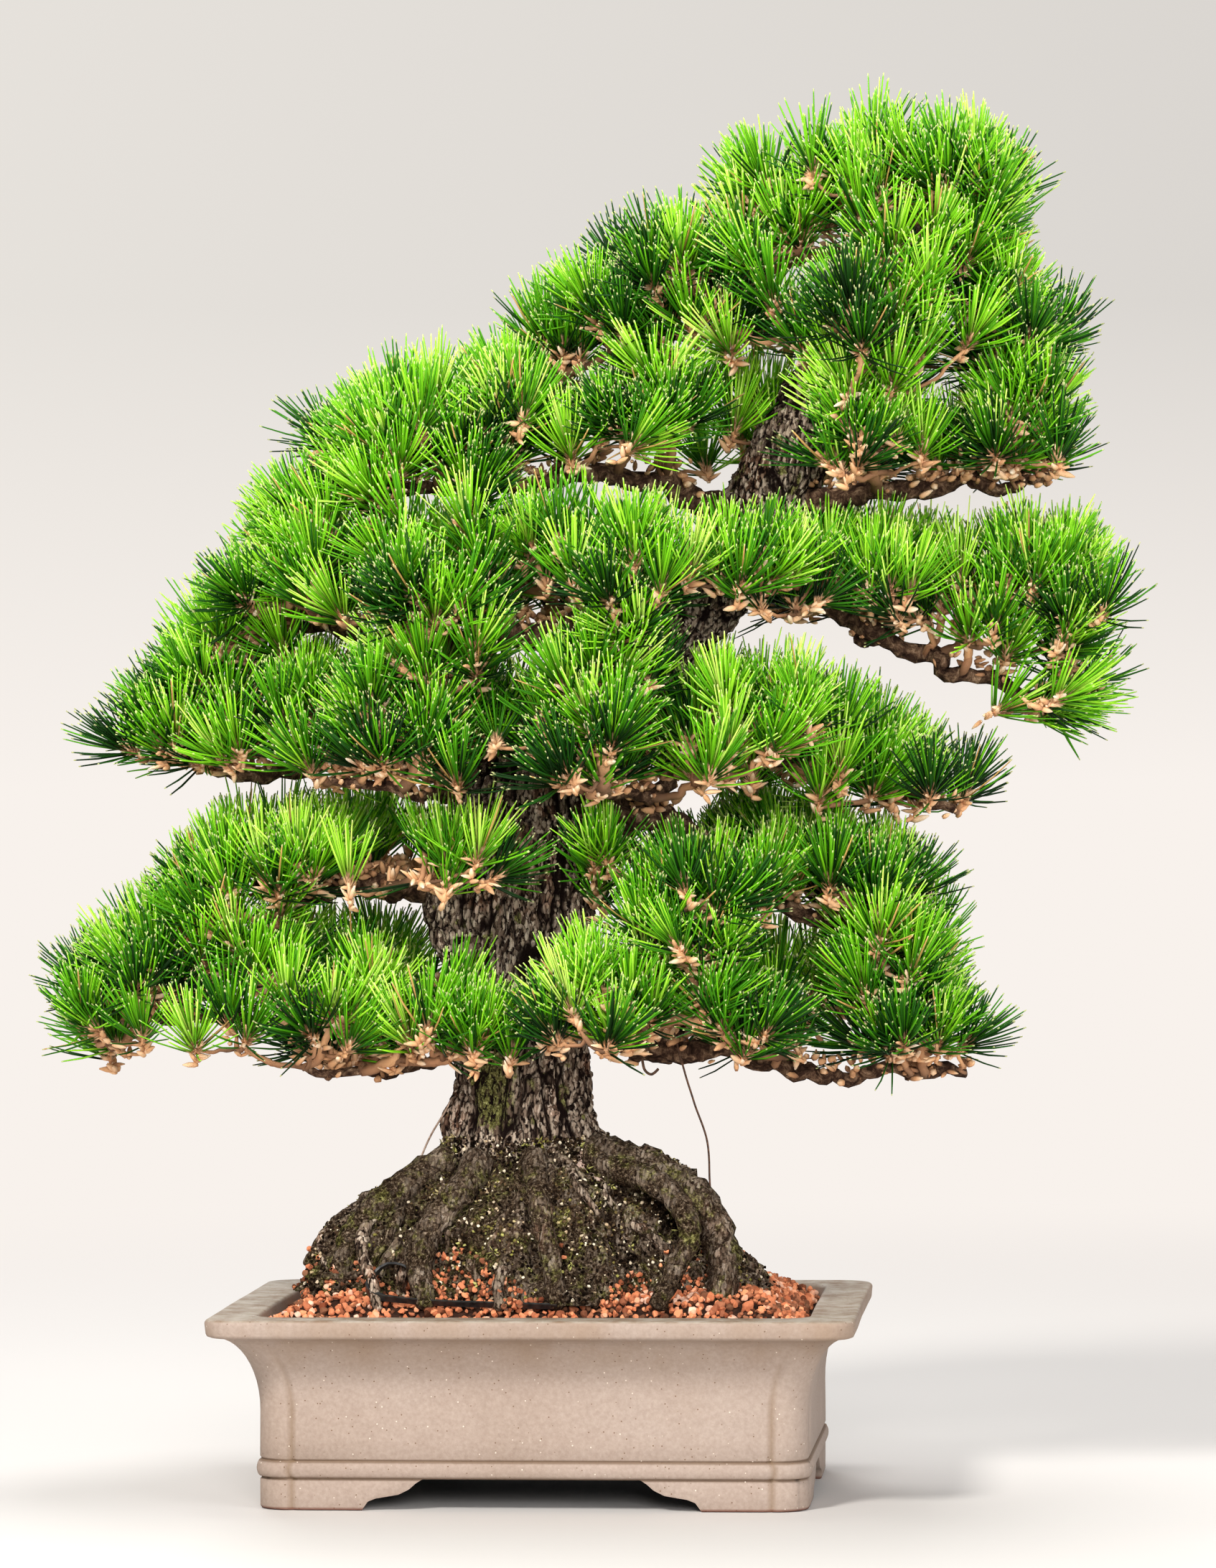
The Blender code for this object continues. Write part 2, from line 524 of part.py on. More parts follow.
def make_branches(finish, parent):
    cutter = loft("cutter_trunk", trunk_rings(GAP), None, parent)
    for name, shoots in BRANCHES.items():
        branch = make_shoot(name, shoots[0], finish, parent)
        for number, shoot in enumerate(shoots[1:], start=1):
            combine(branch, make_shoot(f"{name}_fork_{number}", shoot, finish, parent), "UNION")
        combine(branch, cutter, "DIFFERENCE")


# ---- foliage --------------------------------------------------------------------------------

def make_pad(name, low, high, drop, phase, finish, parent):
    centre = (Vector(low) + Vector(high)) / 2
    half = (Vector(high) - Vector(low)) / 2
    rings = []
    for height_share, width_share in PAD_PROFILE:
        ring = []
        for index in range(PAD_SIDES):
            angle = 2 * math.pi * index / PAD_SIDES
            lump = 1 - PAD_LUMP_DEPTH * (1 + math.sin(PAD_LUMPS * angle + phase))
            across, deep = math.cos(angle), math.sin(angle)
            x = half.x * lump * width_share * math.copysign(abs(across) ** PAD_SQUARENESS, across)
            y = half.y * lump * width_share * math.copysign(abs(deep) ** PAD_SQUARENESS, deep)
            z = low[2] + (high[2] - low[2]) * height_share - drop * x
            ring.append(Vector((centre.x + x, centre.y + y, z)))
        rings.append(ring)
    return loft(name, rings, finish, parent)


def make_foliage(finish, parent):
    golden_angle = math.pi * (3 - math.sqrt(5))
    for index, (name, (low, high, drop)) in enumerate(FOLIAGE.items()):
        make_pad(name, low, high, drop, index * golden_angle, finish, parent)


# ---- wires and tie --------------------------------------------------------------------------

def make_wires(steel, aluminium, parent):
    for name, points in GUY_WIRES.items():
        route = smooth_route(points, 3)
        finish = aluminium if name.endswith("left") else steel
        tube(name, route, [GUY_WIRE_RADIUS] * len(route), WIRE_SIDES, finish, parent)
    route = smooth_route(HOOK_WIRE, 3)
    tube("training_wire_end", route, [HOOK_WIRE_RADIUS] * len(route), WIRE_SIDES, steel, parent)


def make_strap(name, route_rows, finish, parent):
    """A strap with a rectangular section that may swell along its route."""
    route = smooth_route(route_rows, 2)
    points = [Vector(row[:3]) for row in route]
    rings = []
    for row, point, (side, other) in zip(route, points, frames_along(points, Vector((0, 1, 0)))):
        wide, thick = side * row[3], other * row[4]
        rings.append([point - wide - thick, point + wide - thick,
                      point + wide + thick, point - wide + thick])
    return loft(name, rings, finish, parent)


# ---- assembly -------------------------------------------------------------------------------

def centre_on_origin(parent):
    """Move everything so that the object's box stands on z = 0 with its middle on the origin."""
    bpy.context.view_layer.update()
    corners = [item.matrix_world @ Vector(corner) for item in bpy.data.objects
               if item.type == "MESH" and not item.hide_render for corner in item.bound_box]
    for axis in (0, 1):
        values = [corner[axis] for corner in corners]
        parent.location[axis] = -(min(values) + max(values)) / 2


def main():
    clear_scene()
    whole = bpy.data.objects.new("bonsai", None)
    bpy.context.scene.collection.objects.link(whole)

    clay = material("clay", (0.50, 0.40, 0.31), 0.75)
    bark = material("bark", (0.09, 0.065, 0.05), 0.9)
    twig = material("twig", (0.20, 0.12, 0.07), 0.85)
    needles = material("needles", (0.08, 0.28, 0.03), 0.45)
    akadama = material("akadama", (0.42, 0.15, 0.07), 0.9)
    black_plastic = material("black_plastic", (0.015, 0.015, 0.015), 0.35)
    steel = material("rusty_wire", (0.14, 0.07, 0.04), 0.55, 0.6)
    aluminium = material("pale_wire", (0.62, 0.50, 0.42), 0.4, 0.7)

    make_pot(clay, whole)
    for sign, side in ((-1, "left"), (1, "right")):
        make_drain_mesh("drain_mesh_" + side, sign * DRAIN_HOLE_X, black_plastic, whole)
        make_clip_wire("drain_mesh_clip_" + side, sign * DRAIN_HOLE_X, aluminium, whole)
    make_soil(akadama, whole)
    loft("trunk", trunk_rings(0.0), bark, whole)
    make_branches(twig, whole)
    make_foliage(needles, whole)
    make_wires(steel, aluminium, whole)
    make_strap("cable_tie", TIE_ROUTE, black_plastic, whole)
    centre_on_origin(whole)


main()
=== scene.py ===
"""Looks of the potted pine bonsai: needles, twigs, bark, moss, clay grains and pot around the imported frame.
Every place is in the pot's own frame (middle of the pot's foot print, +Z up, front -Y) moved by ORIGIN."""
import math

import bmesh
import bpy
import numpy as np
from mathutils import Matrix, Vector, noise
from mathutils.bvhtree import BVHTree


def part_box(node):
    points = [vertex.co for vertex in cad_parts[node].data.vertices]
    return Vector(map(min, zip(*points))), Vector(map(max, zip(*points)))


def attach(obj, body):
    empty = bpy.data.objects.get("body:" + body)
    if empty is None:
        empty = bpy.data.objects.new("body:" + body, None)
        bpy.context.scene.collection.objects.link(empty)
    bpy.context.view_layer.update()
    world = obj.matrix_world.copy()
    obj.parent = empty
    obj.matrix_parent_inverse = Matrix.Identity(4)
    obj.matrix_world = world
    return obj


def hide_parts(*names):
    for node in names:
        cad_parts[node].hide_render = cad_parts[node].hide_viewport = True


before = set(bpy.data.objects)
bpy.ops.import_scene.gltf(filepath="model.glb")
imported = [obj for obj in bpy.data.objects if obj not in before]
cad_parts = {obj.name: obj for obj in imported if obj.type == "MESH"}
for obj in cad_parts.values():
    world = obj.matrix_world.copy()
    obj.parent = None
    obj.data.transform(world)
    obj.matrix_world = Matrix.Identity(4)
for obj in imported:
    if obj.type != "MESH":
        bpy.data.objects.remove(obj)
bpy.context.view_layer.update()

BODY = "root"
UV_NAME = "OFBake"
POT_LOW, POT_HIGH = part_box("pot")
ORIGIN = np.array([(POT_LOW[0] + POT_HIGH[0]) / 2, (POT_LOW[1] + POT_HIGH[1]) / 2, 0.0])
GOLDEN_ANGLE = math.pi * (3 - math.sqrt(5))

# ---- sizes shared with the frame ------------------------------------------------------------
POT_HEIGHT = POT_HIGH[2]
RIM_HALF = np.array([POT_HIGH[0] - POT_LOW[0], POT_HIGH[1] - POT_LOW[1]]) / 2
LIP_OVERHANG = 0.0275
LIP_FACE = 0.0105
LIP_TOP_WIDTH = 0.027
WALL = 0.010
FLOOR_THICKNESS = 0.012
FOOT_HEIGHT = 0.0176
BELT_HEIGHT = 0.010
BELT_PROUD = 0.0016
FLARE_START = 0.055
CORNER_RADIUS = 0.017
CREASE_WIDTH = 0.006
CREASE_DEPTH = 0.0016
FOOT_LENGTH = 0.0595
FOOT_STEP = [
    (0.0, 0.0), (0.0035, 0.0050), (0.0080, 0.0068), (0.0210, 0.0090),
    (0.0270, 0.0120), (0.0310, 0.0155), (0.0345, FOOT_HEIGHT)]
DRAIN_HOLE_RADIUS = 0.012
DRAIN_HOLE_X = 0.075
SOIL_EDGE = POT_HEIGHT - 0.006
SOIL_CROWN = 0.118

# centre x, y, z, half width across the front, half depth
TRUNK_PATH = [
    (-0.010, 0.000, SOIL_CROWN - 0.004, 0.137, 0.089),
    (-0.010, 0.000, 0.122, 0.133, 0.086),
    (-0.012, 0.000, 0.140, 0.117, 0.082),
    (-0.012, 0.000, 0.160, 0.107, 0.074),
    (-0.002, 0.000, 0.176, 0.094, 0.064),
    (0.002, 0.000, 0.189, 0.070, 0.052),
    (-0.010, 0.000, 0.199, 0.047, 0.043),
    (-0.013, 0.000, 0.215, 0.040, 0.040),
    (-0.014, 0.000, 0.250, 0.039, 0.039),
    (-0.015, 0.000, 0.290, 0.041, 0.038),
    (-0.020, 0.002, 0.330, 0.047, 0.037),
    (-0.022, 0.004, 0.360, 0.047, 0.036),
    (-0.010, 0.006, 0.395, 0.040, 0.034),
    (0.006, 0.006, 0.425, 0.034, 0.032),
    (0.028, 0.004, 0.458, 0.031, 0.030),
    (0.060, 0.002, 0.492, 0.028, 0.028),
    (0.096, 0.000, 0.522, 0.026, 0.026),
    (0.124, 0.000, 0.560, 0.025, 0.025),
    (0.144, 0.000, 0.600, 0.023, 0.023),
    (0.165, 0.002, 0.640, 0.019, 0.019),
    (0.190, 0.004, 0.675, 0.014, 0.014),
    (0.208, 0.004, 0.705, 0.010, 0.010),
    (0.216, 0.002, 0.735, 0.005, 0.005)]
UPRIGHT_BELOW = 0.30

BRANCHES = {
    "branch_low_left": [
        (0.013, 0.005, [
            (-0.030, 0.010, 0.288), (-0.066, 0.036, 0.284), (-0.110, 0.046, 0.268),
            (-0.160, 0.034, 0.256), (-0.205, 0.012, 0.262), (-0.250, 0.000, 0.270)]),
        (0.007, 0.004, [
            (-0.110, 0.046, 0.268), (-0.124, 0.080, 0.266), (-0.140, 0.110, 0.266)]),
        (0.008, 0.0035, [
            (-0.066, 0.036, 0.284), (-0.064, 0.032, 0.250), (-0.084, -0.010, 0.234),
            (-0.135, -0.040, 0.232)])],
    "branch_low_right": [
        (0.012, 0.005, [
            (0.000, 0.006, 0.272), (0.048, -0.004, 0.258), (0.100, -0.016, 0.250),
            (0.150, -0.012, 0.236), (0.196, -0.008, 0.231), (0.245, -0.006, 0.233)]),
        (0.007, 0.0035, [
            (0.060, -0.007, 0.256), (0.054, -0.050, 0.254), (0.044, -0.096, 0.252)]),
        (0.008, 0.004, [
            (0.060, -0.007, 0.256), (0.070, 0.040, 0.254), (0.092, 0.084, 0.254),
            (0.130, 0.100, 0.254)])],
    "branch_mid_left": [
        (0.013, 0.0045, [
            (-0.040, 0.000, 0.352), (-0.086, -0.006, 0.350), (-0.118, -0.006, 0.339),
            (-0.150, 0.000, 0.336), (-0.178, 0.002, 0.338)]),
        (0.008, 0.004, [
            (-0.086, -0.006, 0.350), (-0.090, 0.040, 0.346), (-0.094, 0.090, 0.342),
            (-0.110, 0.120, 0.342)])],
    "branch_mid_right": [
        (0.015, 0.005, [
            (0.000, -0.002, 0.392), (0.046, -0.012, 0.392), (0.100, -0.018, 0.372),
            (0.142, -0.012, 0.339), (0.180, -0.010, 0.332), (0.215, -0.008, 0.332)]),
        (0.009, 0.004, [
            (0.046, -0.012, 0.392), (0.052, 0.040, 0.362), (0.078, 0.088, 0.342),
            (0.110, 0.104, 0.340)])],
    "branch_left": [
        (0.014, 0.005, [
            (0.000, 0.000, 0.426), (-0.044, 0.000, 0.420), (-0.088, 0.012, 0.414),
            (-0.140, 0.014, 0.410), (-0.190, 0.010, 0.412), (-0.230, 0.008, 0.416)]),
        (0.009, 0.0035, [
            (-0.044, 0.000, 0.420), (-0.054, -0.036, 0.403), (-0.074, -0.068, 0.399),
            (-0.110, -0.076, 0.400)])],
    "branch_right": [
        (0.012, 0.004, [
            (0.040, 0.000, 0.464), (0.086, -0.012, 0.434), (0.124, -0.020, 0.419),
            (0.168, -0.012, 0.412), (0.205, -0.008, 0.396), (0.236, -0.006, 0.387)]),
        (0.008, 0.0035, [
            (0.086, -0.012, 0.434), (0.066, -0.034, 0.404), (0.050, -0.060, 0.396),
            (0.034, -0.092, 0.394)])],
    "branch_back": [
        (0.010, 0.004, [
            (0.020, 0.014, 0.444), (0.026, 0.060, 0.424), (0.020, 0.100, 0.412),
            (-0.030, 0.116, 0.414), (-0.090, 0.112, 0.420)])],
    "branch_upper_left": [
        (0.015, 0.005, [
            (0.058, 0.000, 0.494), (0.020, 0.008, 0.500), (-0.040, 0.014, 0.490),
            (-0.090, 0.012, 0.486), (-0.120, 0.008, 0.487), (-0.146, 0.004, 0.492)])],
    "branch_upper_right": [
        (0.012, 0.005, [
            (0.112, 0.000, 0.548), (0.150, -0.006, 0.530), (0.186, -0.006, 0.492),
            (0.230, -0.004, 0.466), (0.280, -0.004, 0.448), (0.320, -0.004, 0.450)]),
        (0.008, 0.004, [
            (0.186, -0.006, 0.492), (0.184, 0.040, 0.492), (0.190, 0.090, 0.492)])],
    "branch_high_left": [
        (0.013, 0.0045, [
            (0.120, 0.000, 0.560), (0.088, -0.004, 0.573), (0.050, -0.010, 0.583),
            (-0.010, -0.008, 0.584), (-0.070, -0.004, 0.582), (-0.136, 0.000, 0.584)])],
    "branch_high_right": [
        (0.011, 0.0045, [
            (0.132, 0.000, 0.572), (0.176, -0.010, 0.572), (0.220, -0.006, 0.570),
            (0.260, 0.000, 0.570), (0.296, 0.002, 0.574)])]}


# ---- mesh helpers ---------------------------------------------------------------------------

def mesh_object(name, vertices, quads, triangles=(), uv=None, finish=None, smooth=True):
    """A mesh from arrays; uv holds one pair for each face corner, quads first."""
    quads = np.asarray(quads, dtype=np.int32).reshape(-1, 4)
    triangles = np.asarray(triangles, dtype=np.int32).reshape(-1, 3)
    mesh = bpy.data.meshes.new(name)
    mesh.vertices.add(len(vertices))
    mesh.vertices.foreach_set("co", np.asarray(vertices, dtype=np.float32).ravel())
    corners = np.concatenate([quads.ravel(), triangles.ravel()])
    starts = np.concatenate([np.arange(len(quads)) * 4,
                             len(quads) * 4 + np.arange(len(triangles)) * 3])
    mesh.loops.add(len(corners))
    mesh.loops.foreach_set("vertex_index", corners)
    mesh.polygons.add(len(starts))
    mesh.polygons.foreach_set("loop_start", starts.astype(np.int32))
    mesh.update(calc_edges=True)
    if uv is not None:
        layer = mesh.uv_layers.new(name=UV_NAME)
        layer.data.foreach_set("uv", np.asarray(uv, dtype=np.float32).ravel())
    mesh.validate()
    if smooth:
        mesh.shade_smooth()
    else:
        mesh.shade_flat()
    made = bpy.data.objects.new(name, mesh)
    bpy.context.scene.collection.objects.link(made)
    if finish is not None:
        mesh.materials.append(finish)
    return made


def add_piece(piece, slot, *nodes):
    """Ride the one body and stand for the given frame nodes. The slot is not used."""
    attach(piece, BODY)
    if nodes:
        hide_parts(*nodes)
    return piece


def paint_attribute(piece, name, values):
    layer = piece.data.attributes.new(name, "FLOAT", "POINT")
    layer.data.foreach_set("value", np.asarray(values, dtype=np.float32))


def tube_faces(rings, sides, first=0):
    """Quads around a tube of rings, for vertices listed ring after ring."""
    level, side = np.meshgrid(np.arange(rings - 1), np.arange(sides), indexing="ij")
    after = (side + 1) % sides
    low, high = first + level * sides, first + (level + 1) * sides
    return np.stack([low + side, low + after, high + after, high + side], axis=-1).reshape(-1, 4)


def cap_faces(rings, sides, first=0):
    """Triangle fans that close both ends of a tube."""
    fan = np.arange(1, sides - 1)
    start = np.stack([np.full_like(fan, first), first + fan + 1, first + fan], axis=-1)
    last = first + (rings - 1) * sides
    end = np.stack([np.full_like(fan, last), last + fan, last + fan + 1], axis=-1)
    return np.concatenate([start, end])


def spline(points, steps):
    """Rows on a Catmull-Rom curve through the given rows, with any extra columns carried."""
    rows = np.asarray(points, dtype=float)
    ends = np.concatenate([rows[:1], rows, rows[-1:]])
    share = (np.arange(steps) / steps)[:, None]
    made = []
    for index in range(len(rows) - 1):
        a, b, c, d = ends[index:index + 4]
        made.append(0.5 * (2 * b + (c - a) * share + (2 * a - 5 * b + 4 * c - d) * share ** 2
                           + (3 * b - a - 3 * c + d) * share ** 3))
    made.append(rows[-1:])
    return np.concatenate(made)


def unit(rows):
    rows = np.asarray(rows, dtype=float)
    length = np.linalg.norm(rows, axis=-1, keepdims=True)
    return rows / np.maximum(length, 1e-12)


def frames_along(points, start_side=(0.0, 1.0, 0.1)):
    """Two directions across a route at each point, carried along without twist."""
    along = unit(np.gradient(points, axis=0))
    side = np.asarray(start_side, dtype=float)
    sides, others = [], []
    for direction in along:
        side = side - direction * side.dot(direction)
        side = side / np.linalg.norm(side)
        sides.append(side)
        others.append(np.cross(direction, side))
    return np.array(sides), np.array(others)


def noise_at(points, scale, offset=0.0):
    """Smooth noise of about -1 to 1 at each point; scale is in cycles per metre, one or three."""
    rows = np.asarray(points) * scale + offset
    return np.array([noise.noise(Vector(row)) for row in rows.tolist()])


def smooth_step(low, high, values):
    share = np.clip((values - low) / (high - low), 0.0, 1.0)
    return share * share * (3 - 2 * share)


# ---- material helpers -----------------------------------------------------------------------

class Finish:
    """A node material with a Principled shader and short ways to add nodes."""

    def __init__(self, name, roughness, specular=0.5, metallic=0.0):
        self.material = bpy.data.materials.new(name)
        self.material.use_nodes = True
        self.tree = self.material.node_tree
        self.shader = self.tree.nodes["Principled BSDF"]
        self.shader.inputs["Roughness"].default_value = roughness
        self.shader.inputs["Specular IOR Level"].default_value = specular
        self.shader.inputs["Metallic"].default_value = metallic

    def add(self, kind, **settings):
        node = self.tree.nodes.new(kind)
        for key, value in settings.items():
            setattr(node, key, value)
        return node

    def wire(self, source, target):
        self.tree.links.new(source, target)

    def place(self, stretch=(1.0, 1.0, 1.0)):
        """Object coordinates, stretched."""
        coordinates = self.add("ShaderNodeTexCoord")
        mapping = self.add("ShaderNodeMapping")
        mapping.inputs["Scale"].default_value = stretch
        self.wire(coordinates.outputs["Object"], mapping.inputs["Vector"])
        return mapping.outputs["Vector"]

    def noise(self, vector, scale, detail=4.0, roughness=0.55, distortion=0.0):
        node = self.add("ShaderNodeTexNoise")
        node.inputs["Scale"].default_value = scale
        node.inputs["Detail"].default_value = detail
        node.inputs["Roughness"].default_value = roughness
        node.inputs["Distortion"].default_value = distortion
        self.wire(vector, node.inputs["Vector"])
        return node.outputs["Fac"]

    def cells(self, vector, scale, feature="F1"):
        node = self.add("ShaderNodeTexVoronoi", feature=feature)
        node.inputs["Scale"].default_value = scale
        self.wire(vector, node.inputs["Vector"])
        return node

    def attribute(self, name):
        return self.add("ShaderNodeAttribute", attribute_name=name).outputs["Fac"]

    def uv(self):
        """The u and v of the piece's own map."""
        split = self.add("ShaderNodeSeparateXYZ")
        self.wire(self.add("ShaderNodeUVMap", uv_map=UV_NAME).outputs["UV"], split.inputs["Vector"])
        return split.outputs["X"], split.outputs["Y"]

    def ramp(self, factor, stops):
        node = self.add("ShaderNodeValToRGB")
        elements = node.color_ramp.elements
        while len(elements) < len(stops):
            elements.new(0.5)
        for element, (position, colour) in zip(elements, stops):
            element.position = position
            element.color = (*colour, 1.0) if len(colour) == 3 else colour
        self.wire(factor, node.inputs["Fac"])
        return node.outputs["Color"]

    def step(self, factor, low, high):
        """0 below low, 1 above high, smooth between."""
        node = self.add("ShaderNodeMapRange", interpolation_type="SMOOTHSTEP", clamp=True)
        node.inputs["From Min"].default_value = low
        node.inputs["From Max"].default_value = high
        self.wire(factor, node.inputs["Value"])
        return node.outputs["Result"]

    def math(self, operation, first, second):
        node = self.add("ShaderNodeMath", operation=operation)
        for socket, value in zip(node.inputs, (first, second)):
            if isinstance(value, (int, float)):
                socket.default_value = value
            else:
                self.wire(value, socket)
        return node.outputs["Value"]

    def mix(self, factor, first, second, blend="MIX"):
        node = self.add("ShaderNodeMix", data_type="RGBA", blend_type=blend)
        for socket, value in ((node.inputs[0], factor), (node.inputs[6], first), (node.inputs[7], second)):
            if isinstance(value, (int, float)):
                socket.default_value = value
            elif isinstance(value, tuple):
                socket.default_value = (*value, 1.0)
            else:
                self.wire(value, socket)
        return node.outputs[2]

    def colour(self, source):
        self.wire(source, self.shader.inputs["Base Color"])

    def rough(self, source):
        self.wire(source, self.shader.inputs["Roughness"])

    def bump(self, height, strength, distance):
        node = self.add("ShaderNodeBump")
        node.inputs["Strength"].default_value = strength
        node.inputs["Distance"].default_value = distance
        self.wire(height, node.inputs["Height"])
        self.wire(node.outputs["Normal"], self.shader.inputs["Normal"])


# ---- materials ------------------------------------------------------------------------------

def clay_finish():
    made = Finish("clay", 0.75, 0.25)
    place = made.place()
    split = made.add("ShaderNodeSeparateXYZ")
    made.wire(place, split.inputs["Vector"])
    height = split.outputs["Z"]
    broad = made.noise(place, 9.0, 5.0)
    base = made.ramp(broad, [(0.25, (0.268, 0.196, 0.156)), (0.5, (0.328, 0.249, 0.208)), (0.75, (0.370, 0.295, 0.255))])
    fine = made.noise(place, 420.0, 6.0, 0.7)
    base = made.mix(0.20, base, made.ramp(fine, [(0.3, (0.25, 0.17, 0.11)), (0.7, (0.75, 0.62, 0.50))]))
    # painted shade: a brown band, broken up by noise, darkens the flare under the lip's overhang
    lip_shade_noise = made.noise(made.place((1.0, 1.0, 0.35)), 30.0, 4.0)
    under_lip_shade = made.math("MULTIPLY", made.step(height, 0.070, 0.094), made.step(lip_shade_noise, 0.25, 0.75))
    base = made.mix(made.math("MULTIPLY", under_lip_shade, 0.50), base, (0.26, 0.165, 0.095))
    # painted shade: dark lines in the grooves below and above the belt
    belt_top = FOOT_HEIGHT + BELT_HEIGHT
    for level in (FOOT_HEIGHT, belt_top):
        near = made.math("ABSOLUTE", made.math("SUBTRACT", height, level), 0.0)
        groove = made.math("SUBTRACT", 1.0, made.step(near, 0.0003, 0.0016))
        base = made.mix(made.math("MULTIPLY", groove, 0.75), base, (0.15, 0.09, 0.05))
    # painted shade: darker along the soft creases beside the corners
    crease = made.attribute("crease")
    base = made.mix(made.math("MULTIPLY", crease, 0.55), base, (0.20, 0.125, 0.065))
    # grey-green patina on the flat of the lip
    normal = made.add("ShaderNodeSeparateXYZ")
    made.wire(made.add("ShaderNodeNewGeometry").outputs["Normal"], normal.inputs["Vector"])
    on_lip = made.math("MULTIPLY", made.step(normal.outputs["Z"], 0.5, 0.9), made.step(height, 0.100, 0.104))
    patina = made.ramp(made.noise(place, 60.0, 6.0, 0.65), [(0.35, (0.24, 0.155, 0.095)), (0.5, (0.38, 0.31, 0.24)), (0.68, (0.52, 0.46, 0.39))])
    base = made.mix(made.math("MULTIPLY", on_lip, 0.85), base, patina)
    specks = made.cells(place, 230.0).outputs["Distance"]
    base = made.mix(made.math("SUBTRACT", 1.0, made.step(specks, 0.07, 0.12)), base, (0.17, 0.10, 0.06))
    pale = made.cells(made.place((1.3, 1.3, 1.3)), 120.0).outputs["Distance"]
    base = made.mix(made.math("SUBTRACT", 1.0, made.step(pale, 0.04, 0.08)), base, (0.72, 0.62, 0.52))
    foot_line = made.math("SUBTRACT", 1.0, made.step(height, 0.0006, 0.0022))
    base = made.mix(made.math("MULTIPLY", foot_line, 0.8), base, (0.16, 0.05, 0.03))
    # painted shade: the hollow inside the foot ring is painted nearly black
    underside_shade = made.math("SUBTRACT", 1.0, made.step(height, FOOT_HEIGHT + 0.001, FOOT_HEIGHT + 0.003))
    for axis, half in ((split.outputs["X"], RIM_HALF[0]), (split.outputs["Y"], RIM_HALF[1])):
        middle = ORIGIN[0] if axis == split.outputs["X"] else ORIGIN[1]
        away = made.math("ABSOLUTE", made.math("SUBTRACT", axis, float(middle)), 0.0)
        edge = float(half) - LIP_OVERHANG - 0.004
        underside_shade = made.math("MULTIPLY", underside_shade, made.math("SUBTRACT", 1.0, made.step(away, edge - 0.003, edge)))
    base = made.mix(underside_shade, base, (0.012, 0.009, 0.007))
    made.colour(base)
    made.rough(made.ramp(fine, [(0.3, (0.60, 0.60, 0.60)), (0.7, (0.82, 0.82, 0.82))]))
    made.bump(fine, 0.25, 0.0006)
    return made.material


def grain_finish():
    made = Finish("akadama_grains", 0.95, 0.04)
    tone, shade = made.uv()
    colour = made.ramp(tone, [
        (0.0, (0.030, 0.009, 0.005)), (0.18, (0.130, 0.030, 0.014)), (0.36, (0.36, 0.095, 0.042)),
        (0.56, (0.72, 0.22, 0.095)), (0.80, (0.98, 0.38, 0.18)), (1.0, (1.0, 0.68, 0.52))])
    made.colour(made.mix(0.25, colour, made.ramp(shade, [(0.0, (0.05, 0.02, 0.012)), (1.0, (1.0, 0.48, 0.26))])))
    made.bump(made.noise(made.place(), 900.0, 3.0), 0.3, 0.0004)
    return made.material


def soil_finish():
    made = Finish("soil_bed", 0.95, 0.1)
    spread = made.noise(made.place(), 260.0, 5.0)
    made.colour(made.ramp(spread, [(0.3, (0.010, 0.006, 0.004)), (0.6, (0.05, 0.022, 0.014)), (0.8, (0.13, 0.05, 0.03))]))
    made.bump(spread, 0.8, 0.002)
    return made.material


